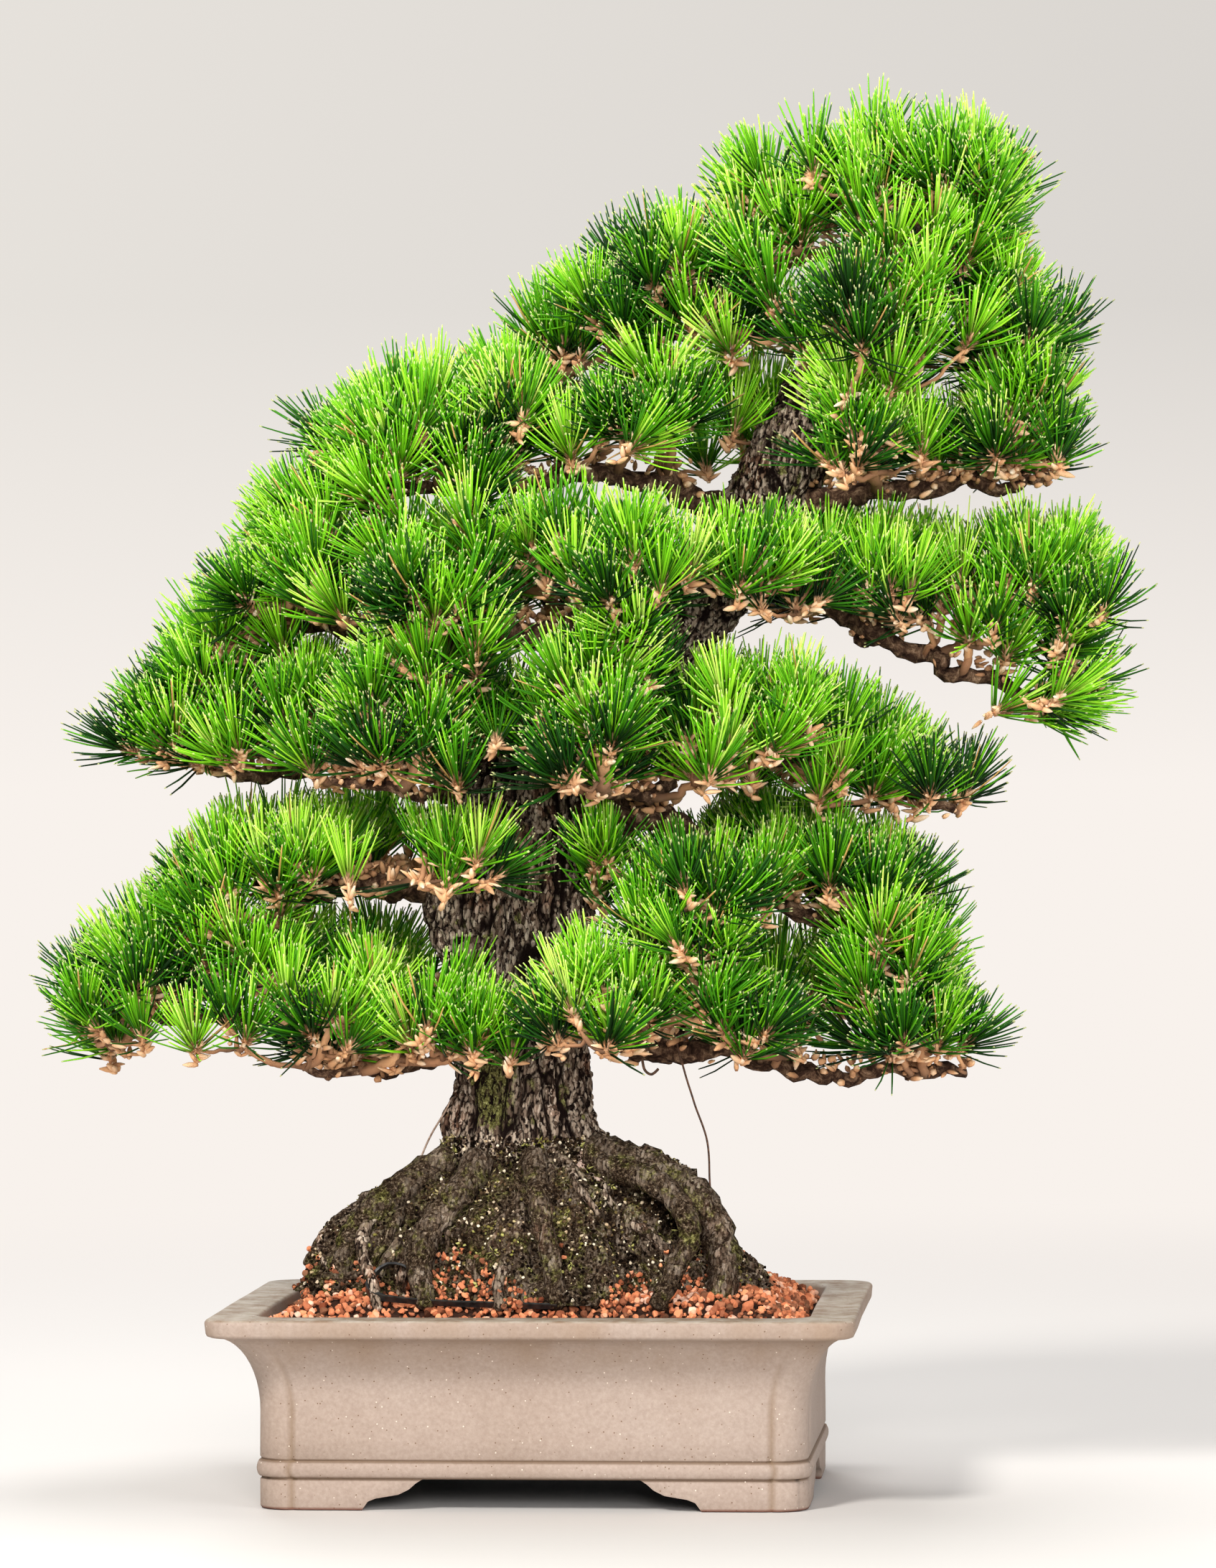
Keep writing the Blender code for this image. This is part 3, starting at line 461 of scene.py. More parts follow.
def bark_finish():
    """Trunk and root mound: flaky plates and cracks, moss and lichen, and the pale cut at the foot."""
    made = Finish("pine_bark", 0.95, 0.06)
    relief = made.attribute("relief")
    moss = made.attribute("moss")
    place = made.place()
    warp = made.noise(place, 300.0, 3.0, 0.6)
    tall = made.add("ShaderNodeVectorMath", operation="ADD")
    made.wire(made.place((1.0, 1.0, 0.42)), tall.inputs[0])
    made.wire(made.math("MULTIPLY", warp, 0.0026), tall.inputs[1])
    flakes = made.cells(tall.outputs["Vector"], 560.0)
    pick = made.add("ShaderNodeSeparateColor")
    made.wire(flakes.outputs["Color"], pick.inputs["Color"])
    edge = made.step(flakes.outputs["Distance"], 0.80, 0.48)
    streak = made.noise(made.place((1.0, 1.0, 0.28)), 240.0, 6.0, 0.70, 0.9)
    patch = made.noise(place, 26.0, 4.0)
    shade = made.math("ADD", made.math("MULTIPLY", pick.outputs["Red"], 0.55), made.math("MULTIPLY", streak, 0.55))
    plates = made.ramp(shade, [(0.24, (0.024, 0.013, 0.009)), (0.38, (0.125, 0.082, 0.057)),
                               (0.55, (0.275, 0.198, 0.145)), (0.72, (0.49, 0.38, 0.285)), (0.86, (0.64, 0.52, 0.41))])
    warm = made.ramp(shade, [(0.26, (0.05, 0.020, 0.012)), (0.45, (0.21, 0.105, 0.066)),
                             (0.62, (0.46, 0.29, 0.20)), (0.80, (0.84, 0.64, 0.50))])
    bark = made.mix(made.step(patch, 0.54, 0.66), plates, warm)
    speckle = made.noise(place, 700.0, 4.0, 0.75)
    lichen = made.ramp(speckle, [(0.34, (0.040, 0.034, 0.010)), (0.47, (0.13, 0.12, 0.036)),
                                 (0.58, (0.30, 0.29, 0.095)), (0.70, (0.60, 0.60, 0.27))])
    bark = made.mix(made.step(made.math("MULTIPLY", made.attribute("lichen"), shade), 0.18, 0.34), bark, lichen)
    gaps = made.math("MULTIPLY", edge, made.step(relief, 0.05, 0.60))
    bark = made.mix(gaps, (0.010, 0.005, 0.004), bark)
    fine = made.noise(place, 560.0, 5.0, 0.75)
    clump = made.noise(place, 95.0, 5.0, 0.65)
    humus = made.ramp(fine, [(0.34, (0.003, 0.0015, 0.001)), (0.48, (0.022, 0.012, 0.006)),
                             (0.58, (0.110, 0.075, 0.046)), (0.70, (0.46, 0.36, 0.26))])
    green = made.ramp(fine, [(0.34, (0.004, 0.003, 0.001)), (0.48, (0.034, 0.028, 0.007)),
                             (0.58, (0.17, 0.155, 0.045)), (0.70, (0.55, 0.52, 0.22))])
    ground = made.mix(made.step(clump, 0.50, 0.62), humus, green)
    bark = made.mix(moss, bark, ground)
    cut = made.ramp(fine, [(0.30, (0.40, 0.22, 0.15)), (0.5, (0.72, 0.50, 0.40)), (0.68, (0.90, 0.78, 0.68))])
    made.colour(made.mix(made.step(made.attribute("scar"), 0.28, 0.48), bark, cut))
    grain = made.math("ADD", made.math("MULTIPLY", edge, 0.8), made.math("MULTIPLY", fine, 0.9))
    made.bump(grain, 0.8, 0.0018)
    return made.material


def branch_finish():
    made = Finish("branch_bark", 0.92, 0.08)
    place = made.place()
    spread = made.noise(place, 170.0, 6.0, 0.72, 0.6)
    made.colour(made.ramp(spread, [(0.34, (0.014, 0.006, 0.004)), (0.47, (0.058, 0.030, 0.019)),
                                   (0.58, (0.190, 0.110, 0.066)), (0.72, (0.55, 0.37, 0.235))]))
    made.bump(spread, 1.0, 0.003)
    return made.material


def needle_finish():
    """u runs from dark through bright green to old straw needles, v from sheath to tip."""
    made = Finish("pine_needles", 0.50, 0.14)
    tone, along = made.uv()
    green = made.ramp(tone, [
        (0.0, (0.003, 0.018, 0.002)), (0.20, (0.010, 0.075, 0.003)), (0.40, (0.055, 0.26, 0.004)),
        (0.60, (0.170, 0.52, 0.008)), (0.78, (0.36, 0.76, 0.030)), (0.92, (0.60, 0.93, 0.14)),
        (0.955, (0.55, 0.33, 0.10)), (1.0, (0.22, 0.105, 0.045))])
    tip_share = made.math("MULTIPLY", made.step(along, 0.94, 0.98), 0.70)
    tip = made.mix(tip_share, green, (0.66, 0.68, 0.30))
    # painted shade: each needle darkens towards its sheath, for the shade deep in the tuft
    foot = made.mix(made.step(along, 0.10, 0.55), (0.34, 0.34, 0.22), (1.0, 1.0, 1.0))
    tip = made.mix(1.0, tip, foot, "MULTIPLY")
    made.colour(made.mix(made.step(along, 0.07, 0.15), (0.74, 0.46, 0.26), tip))
    return made.material


def twig_finish():
    """u runs from old dark twig through orange bark to pale bud."""
    made = Finish("twigs_and_buds", 0.8, 0.12)
    tone, along = made.uv()
    colour = made.ramp(tone, [
        (0.0, (0.020, 0.008, 0.005)), (0.25, (0.095, 0.038, 0.020)), (0.45, (0.36, 0.165, 0.080)),
        (0.65, (0.80, 0.42, 0.20)), (0.85, (0.98, 0.68, 0.43)), (1.0, (1.0, 0.88, 0.72))])
    made.colour(made.mix(0.2, colour, made.ramp(along, [(0.0, (0.10, 0.04, 0.02)), (1.0, (0.85, 0.55, 0.32))])))
    made.bump(made.noise(made.place(), 1100.0, 3.0), 0.7, 0.0006)
    return made.material


def moss_finish():
    """u picks the kind of crumb: humus, moss, bright leaflet, straw or pale grit."""
    made = Finish("moss_crumbs", 0.95, 0.05)
    tone, _ = made.uv()
    made.colour(made.ramp(tone, [
        (0.0, (0.004, 0.002, 0.001)), (0.25, (0.030, 0.017, 0.009)), (0.42, (0.110, 0.070, 0.036)),
        (0.60, (0.24, 0.215, 0.050)), (0.74, (0.52, 0.50, 0.16)), (0.84, (0.50, 0.36, 0.22)),
        (1.0, (0.92, 0.82, 0.62))]))
    return made.material


def plastic_finish():
    made = Finish("black_plastic", 0.35, 0.5)
    dust = made.noise(made.place(), 350.0, 3.0)
    made.colour(made.ramp(dust, [(0.4, (0.010, 0.010, 0.011)), (0.75, (0.035, 0.033, 0.031))]))
    made.rough(made.ramp(dust, [(0.3, (0.25, 0.25, 0.25)), (0.7, (0.5, 0.5, 0.5))]))
    return made.material


def wire_finish(name, dark, pale, metallic, roughness):
    made = Finish(name, roughness, 0.5, metallic)
    made.colour(made.ramp(made.noise(made.place(), 600.0, 4.0), [(0.35, dark), (0.65, pale)]))
    made.bump(made.noise(made.place(), 1500.0, 2.0), 0.4, 0.0002)
    return made.material


# ---- pot ------------------------------------------------------------------------------------

def pot_outline(half, crease, arc_steps):
    """Rounded rectangle with a soft crease beside each corner, and how creased each point is."""
    points, amounts = [], []
    panel_steps = 6
    crease_shape = [0.0, 0.5, 1.0, 0.5]
    for quarter in range(4):
        turn = quarter * math.pi / 2
        sign = np.array([(1, 1), (-1, 1), (-1, -1), (1, -1)][quarter])
        centre = sign * (half - CORNER_RADIUS)
        start = np.array([round(math.cos(turn)), round(math.sin(turn))])
        stop = np.array([-start[1], start[0]])
        edge_in = centre + start * CORNER_RADIUS
        edge_out = centre + stop * CORNER_RADIUS
        for step, amount in enumerate(crease_shape):
            back = CREASE_WIDTH * (1 - step / len(crease_shape))
            points.append(edge_in - stop * back - start * crease * amount)
            amounts.append(amount)
        for step in range(arc_steps + 1):
            angle = turn + step / arc_steps * math.pi / 2
            points.append(centre + np.array([math.cos(angle), math.sin(angle)]) * CORNER_RADIUS)
            amounts.append(0.12)
        for step, amount in enumerate(crease_shape[1:] + [0.0]):
            ahead = CREASE_WIDTH * (step + 1) / len(crease_shape)
            points.append(edge_out - start * ahead - stop * crease * amount)
            amounts.append(amount)
        panel = 2 * (half[0] if quarter % 2 == 0 else half[1]) - 2 * (CORNER_RADIUS + CREASE_WIDTH)
        for step in range(1, panel_steps):
            points.append(edge_out - start * (CREASE_WIDTH + panel * step / panel_steps))
            amounts.append(0.0)
    return np.array(points), np.array(amounts)


def flare_offset(height):
    share = (height - FLARE_START) / (POT_HEIGHT - LIP_FACE - FLARE_START)
    return (LIP_OVERHANG - 0.003) * (1 - math.sqrt(max(0.0, 1 - share ** 2)))


def pot_profile():
    """Rows of offset from the wall, height and crease share, from the recess under the floor,
    up the outside, over the lip and down to the floor inside."""
    groove = 0.0010
    belt_top = FOOT_HEIGHT + BELT_HEIGHT
    lip_bottom = POT_HEIGHT - LIP_FACE
    rows = [(-WALL, FOOT_HEIGHT + 0.0009, 0.0), (-WALL, 0.0008, 0.0), (-WALL + 0.0008, 0.0, 0.0),
            (-0.0015, 0.0, 0.4), (-0.0004, 0.0004, 0.8), (0.0, 0.0015, 1.0),
            (0.0, FOOT_HEIGHT - 0.0016, 1.0), (-groove * 0.8, FOOT_HEIGHT - 0.0005, 1.0),
            (-groove, FOOT_HEIGHT + 0.0003, 1.0)]
    belt_steps = 6
    for step in range(belt_steps + 1):
        angle = math.pi * (0.08 + 0.84 * step / belt_steps)
        rows.append((BELT_PROUD * 1.2 * math.sin(angle) ** 0.6 - 0.0002,
                     FOOT_HEIGHT + BELT_HEIGHT * (0.08 + 0.84 * step / belt_steps), 1.0))
    rows += [(-groove, belt_top, 1.0), (-groove * 0.6, belt_top + 0.0006, 1.0), (0.0, belt_top + 0.0016, 1.0),
             (0.0, 0.040, 1.0)]
    flare_steps = 12
    for step in range(flare_steps + 1):
        share = math.sin(step / flare_steps * math.pi / 2)
        level = FLARE_START + (lip_bottom - FLARE_START) * share
        rows.append((flare_offset(level), level, 1 - share))
    rows += [(LIP_OVERHANG - 0.0012, lip_bottom + 0.0008, 0.0), (LIP_OVERHANG - 0.0006, lip_bottom + 0.0022, 0.0),
             (LIP_OVERHANG, POT_HEIGHT - 0.0024, 0.0)]
    for step in range(1, 5):
        angle = step / 4 * math.pi / 2
        rows.append((LIP_OVERHANG - 0.0024 * (1 - math.cos(angle)), POT_HEIGHT - 0.0024 * (1 - math.sin(angle)), 0.0))
    inner = LIP_OVERHANG - LIP_TOP_WIDTH
    rows += [(inner + 0.014, POT_HEIGHT - 0.0003, 0.0), (inner + 0.0022, POT_HEIGHT - 0.0001, 0.0),
             (inner + 0.0008, POT_HEIGHT - 0.0006, 0.0), (inner, POT_HEIGHT - 0.0020, 0.0),
             (-WALL, FLARE_START + 0.025, 0.0), (-WALL, FOOT_HEIGHT + FLOOR_THICKNESS, 0.0)]
    return rows


def ring_stack(rings):
    """Vertices, quads and end polygons of a stack of equal rings."""
    count = len(rings[0])
    vertices = np.concatenate(rings)
    return vertices, tube_faces(len(rings), count), count


def closed_prism(name, section, ends, along_x):
    """A cutter bar with the given section between two ends."""
    rings = []
    for end in ends:
        if along_x:
            rings.append([(-end, across, height) for across, height in section])
        else:
            rings.append([(across, end, height) for across, height in section])
    count = len(section)
    faces = [tuple(reversed(range(count))), tuple(range(count, 2 * count))]
    faces += [(i, (i + 1) % count, count + (i + 1) % count, count + i) for i in range(count)]
    mesh = bpy.data.meshes.new(name)
    mesh.from_pydata([tuple(ORIGIN + np.array(p)) for ring in rings for p in ring], [], faces)
    made = bpy.data.objects.new(name, mesh)
    bpy.context.scene.collection.objects.link(made)
    return made


def foot_section(half_gap):
    below = 0.010
    right = [(half_gap - run, height) for run, height in FOOT_STEP]
    left = [(-across, height) for across, height in reversed(right)]
    return [(-half_gap, -below), (half_gap, -below)] + right + left


def cut_away(target, cutters):
    """Boolean differences, applied, with the cutters removed."""
    for cutter in cutters:
        step = target.modifiers.new("cut", "BOOLEAN")
        step.operation = "DIFFERENCE"
        step.solver = "EXACT"
        step.object = cutter
    depsgraph = bpy.context.evaluated_depsgraph_get()
    cut_mesh = bpy.data.meshes.new_from_object(target.evaluated_get(depsgraph))
    target.modifiers.clear()
    target.data = cut_mesh
    for cutter in cutters:
        bpy.data.objects.remove(cutter)


def make_pot():
    wall_half = RIM_HALF - LIP_OVERHANG
    rings, creases = [], []
    for offset, height, share in pot_profile():
        outline, amounts = pot_outline(wall_half + offset, CREASE_DEPTH * share, 8)
        ring = np.column_stack([outline, np.full(len(outline), height)])
        wobble = noise_at(ring, 14.0)
        ring[:, 0] += wobble * 0.0006
        ring[:, 1] += noise_at(ring, 14.0, 5.0) * 0.0006
        rings.append(ring + ORIGIN)
        creases.append(amounts * share)
    vertices, quads, count = ring_stack(rings)
    last = len(vertices) - count
    faces = [tuple(reversed(range(count)))] + [tuple(face) for face in quads.tolist()]
    faces.append(tuple(range(last, last + count)))
    mesh = bpy.data.meshes.new("pot_body")
    mesh.from_pydata(vertices.tolist(), [], faces)
    pot = bpy.data.objects.new("pot_body", mesh)
    bpy.context.scene.collection.objects.link(pot)
    paint_attribute(pot, "crease", np.concatenate(creases))
    reach = (0.25, -0.25)
    cutters = [closed_prism("cut_front", foot_section(wall_half[0] - FOOT_LENGTH), reach, False),
               closed_prism("cut_side", foot_section(wall_half[1] - FOOT_LENGTH), reach, True)]
    hole_sides = 32
    for sign in (-1, 1):
        hole = [(sign * DRAIN_HOLE_X + DRAIN_HOLE_RADIUS * math.cos(a), DRAIN_HOLE_RADIUS * math.sin(a))
                for a in np.arange(hole_sides) / hole_sides * 2 * math.pi]
        cutters.append(drain_cutter(hole))
    cut_away(pot, cutters)
    pot.data.materials.append(clay_finish())
    edges = pot.modifiers.new("soft_edges", "BEVEL")
    edges.width = 0.0007
    edges.segments = 2
    edges.limit_method = "ANGLE"
    edges.angle_limit = math.radians(50)
    pot.data.shade_smooth()
    add_piece(pot, "clay", "pot")


def drain_cutter(hole):
    """An upright round bar through the floor."""
    count = len(hole)
    low, high = FOOT_HEIGHT - 0.010, FOOT_HEIGHT + FLOOR_THICKNESS + 0.010
    points = [(x, y, z) for z in (low, high) for x, y in hole]
    faces = [tuple(reversed(range(count))), tuple(range(count, 2 * count))]
    faces += [(i, (i + 1) % count, count + (i + 1) % count, count + i) for i in range(count)]
    mesh = bpy.data.meshes.new("cut_drain")
    mesh.from_pydata([tuple(ORIGIN + np.array(p)) for p in points], [], faces)
    made = bpy.data.objects.new("cut_drain", mesh)
    bpy.context.scene.collection.objects.link(made)
    return made


# ---- soil -----------------------------------------------------------------------------------

def soil_half(height):
    """Half sizes of the room inside the pot at a height."""
    throat = FLARE_START + 0.025
    inner = LIP_OVERHANG - LIP_TOP_WIDTH
    share = min(max((height - throat) / (POT_HEIGHT - 0.002 - throat), 0.0), 1.0)
    return RIM_HALF - LIP_OVERHANG - WALL + (inner + WALL) * share - 0.0005


def soil_height(x, y):
    """Height of the heaped soil: low along the rim, high under the roots."""
    half = soil_half(SOIL_EDGE)
    inward = np.minimum(half[0] - np.abs(x), half[1] - np.abs(y))
    return SOIL_EDGE + (SOIL_CROWN - SOIL_EDGE) * smooth_step(-0.004, 0.034, inward)


def make_soil_bed(finish):
    """The dark ground under the grains, a closed stack of shrinking outlines."""
    floor = FOOT_HEIGHT + FLOOR_THICKNESS + 0.004
    throat = FLARE_START + 0.025
    drop = 0.0025
    rings = []
    for level, shrink in ((floor, 0.0), (throat, 0.0), (SOIL_EDGE - drop, 0.0)):
        outline, _ = pot_outline(soil_half(level) - shrink, 0.0, 6)
        rings.append(np.column_stack([outline, np.full(len(outline), level)]) + ORIGIN)
    for shrink in (0.004, 0.010, 0.016, 0.022, 0.030, 0.040, 0.060):
        outline, _ = pot_outline(soil_half(SOIL_EDGE) - shrink, 0.0, 6)
        heights = soil_height(outline[:, 0], outline[:, 1]) - drop
        heights += noise_at(np.column_stack([outline, heights]), 120.0) * 0.0012
        rings.append(np.column_stack([outline, heights]) + ORIGIN)
    vertices, quads, count = ring_stack(rings)
    bed = mesh_object("soil_bed", vertices, quads, cap_faces(len(rings), count), finish=finish)
    add_piece(bed, "akadama", "soil")


def crumb_shapes(rng, variants, detail):
    """Closed angular pebbles of about unit radius: vertices for each variant, and shared faces."""
    mesh = bpy.data.meshes.new("crumb")
    work = bmesh.new()
    bmesh.ops.create_icosphere(work, subdivisions=detail, radius=1.0)
    work.to_mesh(mesh)
    work.free()
    base = np.array([v.co[:] for v in mesh.vertices])
    faces = np.array([p.vertices[:] for p in mesh.polygons])
    bpy.data.meshes.remove(mesh)
    shapes = []
    for _ in range(variants):
        shape = base * rng.uniform(0.72, 1.15, 3)
        for _ in range(11):
            normal = unit(rng.normal(size=3))
            limit = rng.uniform(0.42, 0.80)
            over = np.maximum(shape @ normal - limit, 0.0)
            shape = shape - over[:, None] * normal
        shapes.append(shape)
    return np.array(shapes), faces


def random_turns(rng, count):
    """Random rotation matrices."""
    q = unit(rng.normal(size=(count, 4)))
    w, x, y, z = q.T
    return np.stack([
        np.stack([1 - 2 * (y * y + z * z), 2 * (x * y - w * z), 2 * (x * z + w * y)], -1),
        np.stack([2 * (x * y + w * z), 1 - 2 * (x * x + z * z), 2 * (y * z - w * x)], -1),
        np.stack([2 * (x * z - w * y), 2 * (y * z + w * x), 1 - 2 * (x * x + y * y)], -1)], -2)


def scatter_crumbs(name, rng, places, radii, tones, shapes, faces, finish, smooth=False):
    """One closed pebble at each place. Its map holds its tone across and its own shade up."""
    count = len(places)
    chosen = shapes[rng.integers(len(shapes), size=count)]
    turned = np.einsum("nij,nkj->nki", random_turns(rng, count), chosen)
    vertices = turned * radii[:, None, None] + places[:, None, :]
    per_shape = shapes.shape[1]
    triangles = faces[None, :, :] + (np.arange(count) * per_shape)[:, None, None]
    wedge = np.array([[0.0, 0.0], [0.012, 0.0], [0.0, 0.12]])
    base = np.stack([np.clip(tones, 0.0, 0.985), rng.uniform(0.0, 0.85, count)], -1)
    uv = np.broadcast_to(base[:, None, None, :] + wedge, (count, len(faces), 3, 2))
    return mesh_object(name, vertices.reshape(-1, 3), [], triangles.reshape(-1, 3), uv, finish, smooth)


def inside_mound(x, y, grow=1.0):
    centre_x, centre_y, _, half_x, half_y = TRUNK_PATH[1]
    return ((x - centre_x) / (half_x * grow)) ** 2 + ((y - centre_y) / (half_y * grow)) ** 2 < 1


def make_grains(finish):
    rng = np.random.default_rng(11)
    shapes, faces = crumb_shapes(rng, 10, 2)
    half = soil_half(SOIL_EDGE) - 0.0015
    pitch = 0.0037
    grid_x, grid_y = np.meshgrid(np.arange(-half[0], half[0], pitch), np.arange(-half[1], half[1], pitch))
    x = (grid_x + rng.uniform(-0.45, 0.45, grid_x.shape) * pitch).ravel()
    y = (grid_y + rng.uniform(-0.45, 0.45, grid_y.shape) * pitch).ravel()
    keep = ~inside_mound(x, y, 0.93) & (np.abs(x) < half[0] - 0.001) & (np.abs(y) < half[1] - 0.001)
    x, y = x[keep], y[keep]
    radii = np.clip(rng.normal(0.00225, 0.00065, len(x)), 0.0011, 0.0038)
    z = soil_height(x, y) - 0.0024 + rng.uniform(0.0, 0.0030, len(x))
    patch = noise_at(np.column_stack([x, y, z]), 34.0)
    tones = np.clip(0.50 + 0.50 * patch + rng.normal(0, 0.27, len(x)), 0.02, 0.98)
    places = np.column_stack([x, y, z]) + ORIGIN
    front = y < 0
    for name, part in (("soil_grains_front", front), ("soil_grains_back", ~front)):
        grains = scatter_crumbs(name, rng, places[part], radii[part], tones[part], shapes, faces, finish)
        add_piece(grains, "akadama")


def make_foot_grains(points, finish):
    """Grains that lie on the lowest part of the root mound."""
    rng = np.random.default_rng(13)
    shapes, faces = crumb_shapes(rng, 8, 2)
    low_levels = np.nonzero(points[:, 0, 2] < 0.150)[0]
    count = 3400
    level = low_levels[(rng.random(count) ** 1.8 * len(low_levels)).astype(int)]
    places = points[level, rng.integers(points.shape[1], size=count)]
    settled = noise_at(places, 40.0, 51.0) + 0.35 > (places[:, 2] - SOIL_CROWN) * 28
    places = places[settled]
    radii = rng.uniform(0.0012, 0.0026, len(places))
    tones = np.clip(rng.normal(0.45, 0.25, len(places)), 0.02, 0.95)
    grains = scatter_crumbs("foot_grains", rng, places + ORIGIN, radii, tones, shapes, faces, finish)
    add_piece(grains, "akadama")


# ---- trunk and roots ------------------------------------------------------------------------

def trunk_frame(levels):
    """Centres, half sizes and section directions at evenly spread levels up the trunk."""
    rows = spline(TRUNK_PATH, 24)
    gaps = np.linalg.norm(np.diff(rows[:, :3], axis=0), axis=1)
    travelled = np.concatenate([[0.0], np.cumsum(gaps)])
    wanted = np.linspace(0.0, travelled[-1], levels)
    rows = np.column_stack([np.interp(wanted, travelled, rows[:, k]) for k in range(5)])
    side, other = frames_along(rows[:, :3], (1.0, 0.0, 0.0))
    blend = smooth_step(UPRIGHT_BELOW - 0.02, UPRIGHT_BELOW + 0.04, rows[:, 2])[:, None]
    side = unit(side * blend + np.array([1.0, 0.0, 0.0]) * (1 - blend))
    other = unit(other * blend + np.array([0.0, 1.0, 0.0]) * (1 - blend))
    return rows, side, other


ROOT_RIDGES = [      # direction round the trunk in degrees, how far it drifts, width, height
    (-160, 14, 13, 0.016), (-128, -10, 10, 0.010), (-98, 8, 11, 0.009), (-66, -6, 10, 0.012),
    (-30, 20, 14, 0.010), (4, -8, 11, 0.002), (38, 10, 13, 0.013), (76, -8, 12, 0.012),
    (112, 10, 13, 0.014), (150, -10, 13, 0.014)]


BURLS = [                # direction in degrees, width, height up the trunk, tallness, how proud
    (186, 26, 0.214, 0.014, 0.0085), (-14, 20, 0.200, 0.007, 0.0080), (205, 20, 0.330, 0.016, 0.0040)]
SCAR = (0.0345, 0.1925, 0.0110, 0.0060)     # x, z, half width and half height of the cut at the foot


def trunk_surface():
    """Points of the wood's skin, level by level, with its relief, moss, lichen and scar amounts."""
    levels, sides = 430, 300
    rows, side, other = trunk_frame(levels)
    angle = np.linspace(0.0, 2 * math.pi, sides, endpoint=False)
    cos, sin = np.cos(angle), np.sin(angle)
    outward = side[:, None, :] * cos[None, :, None] + other[:, None, :] * sin[None, :, None]
    reach = (side[:, None, :] * (rows[:, 3, None] * cos)[..., None]
             + other[:, None, :] * (rows[:, 4, None] * sin)[..., None])
    smooth_skin = rows[:, None, :3] + reach
    height = smooth_skin[..., 2]
    mound = 1 - smooth_step(0.180, 0.206, height)
    degrees = np.degrees(angle)[None, :]
    ridge = np.zeros_like(height)
    fall = np.clip((0.200 - height) / 0.080, 0.0, 1.0)
    for heading, drift, width, tall in ROOT_RIDGES:
        away = (degrees - heading - drift * fall + 180) % 360 - 180
        ridge += tall * np.exp(-(away / width) ** 2)
    ridge = (ridge - 0.007) * mound * np.sin(np.clip(fall, 0.05, 1.0) * math.pi * 0.55)
    flat = smooth_skin.reshape(-1, 3)
    lumps = noise_at(flat, 38.0).reshape(height.shape) * (0.0020 + 0.0085 * mound)
    small = noise_at(flat, 120.0, 3.0).reshape(height.shape) * (0.0005 + 0.0052 * mound)
    tiny = noise_at(flat, 420.0, 9.0).reshape(height.shape) * (0.0006 + 0.0016 * mound)
    warp = np.column_stack([noise_at(flat, 70.0, 1.0), noise_at(flat, 70.0, 21.0), noise_at(flat, 30.0, 41.0)])
    bent = flat + warp * np.array([0.0030, 0.0030, 0.010])
    long_cracks = np.abs(noise_at(bent, np.array([62.0, 62.0, 13.0]), 3.0))
    short_cracks = np.abs(noise_at(bent, np.array([150.0, 150.0, 34.0]), 11.0))
    cross_cracks = np.abs(noise_at(bent, np.array([60.0, 60.0, 70.0]), 29.0))
    relief = (smooth_step(0.0, 0.16, long_cracks) * smooth_step(-0.02, 0.20, short_cracks)
              * (0.55 + 0.45 * smooth_step(0.0, 0.10, cross_cracks))).reshape(height.shape)
    bark_depth = np.clip(rows[:, 3, None] * 0.085, 0.0010, 0.0036) * (1 - 0.75 * mound)
    flaky = np.abs(noise_at(bent, np.array([330.0, 330.0, 150.0]), 17.0)).reshape(height.shape)
    burls = np.zeros_like(height)
    for heading, width, level, tall, proud in BURLS:
        away = (degrees - heading + 180) % 360 - 180
        burls += proud * np.exp(-(away / width) ** 2 - ((height - level) / tall) ** 2)
    out = ridge + lumps + small + tiny + burls + (relief - 0.75) * bark_depth
    out += (flaky - 0.25) * 0.0030
    points = smooth_skin + outward * out[..., None]
    points[0] = points[0] * np.array([1, 1, 0]) + np.array([0, 0, rows[0, 2]])
    # moss all over the mound, and lichen up the left front of the lower trunk
    patch = noise_at(flat, 26.0, 13.0).reshape(height.shape)
    left_front = np.exp(-(((degrees - 243 + 180) % 360 - 180) / 26) ** 2)
    lichen = left_front * smooth_step(0.300, 0.240, height) * smooth_step(-0.45, 0.15, patch)
    scatter = smooth_step(0.25, 0.55, noise_at(flat, 120.0, 37.0).reshape(height.shape))
    scar_x, scar_z, scar_wide, scar_tall = SCAR
    from_scar = np.hypot((points[..., 0] - scar_x) / scar_wide, (points[..., 2] - scar_z) / scar_tall)
    scar = (1.15 - from_scar * 0.6 + 0.25 * small / 0.003) * (points[..., 1] < 0)
    amounts = {
        "relief": relief, "moss": np.clip(mound * (0.80 + 0.5 * patch), 0.0, 1.0),
        "lichen": np.clip(np.maximum(0.85 * lichen, 0.55 * scatter), 0.0, 1.0), "scar": np.clip(scar, 0.0, 1.0)}
    return points, amounts


def band_uv(rings, sides, low, high):
    """Corner pairs for a tube's quads: once round across, and from low to high along."""
    level, side = np.meshgrid(np.arange(rings - 1), np.arange(sides), indexing="ij")
    left, right = side / sides, (side + 1) / sides
    bottom = low + (high - low) * level / (rings - 1)
    top = low + (high - low) * (level + 1) / (rings - 1)
    return np.stack([np.stack([left, bottom], -1), np.stack([right, bottom], -1),
                     np.stack([right, top], -1), np.stack([left, top], -1)], axis=-2).reshape(-1, 2)


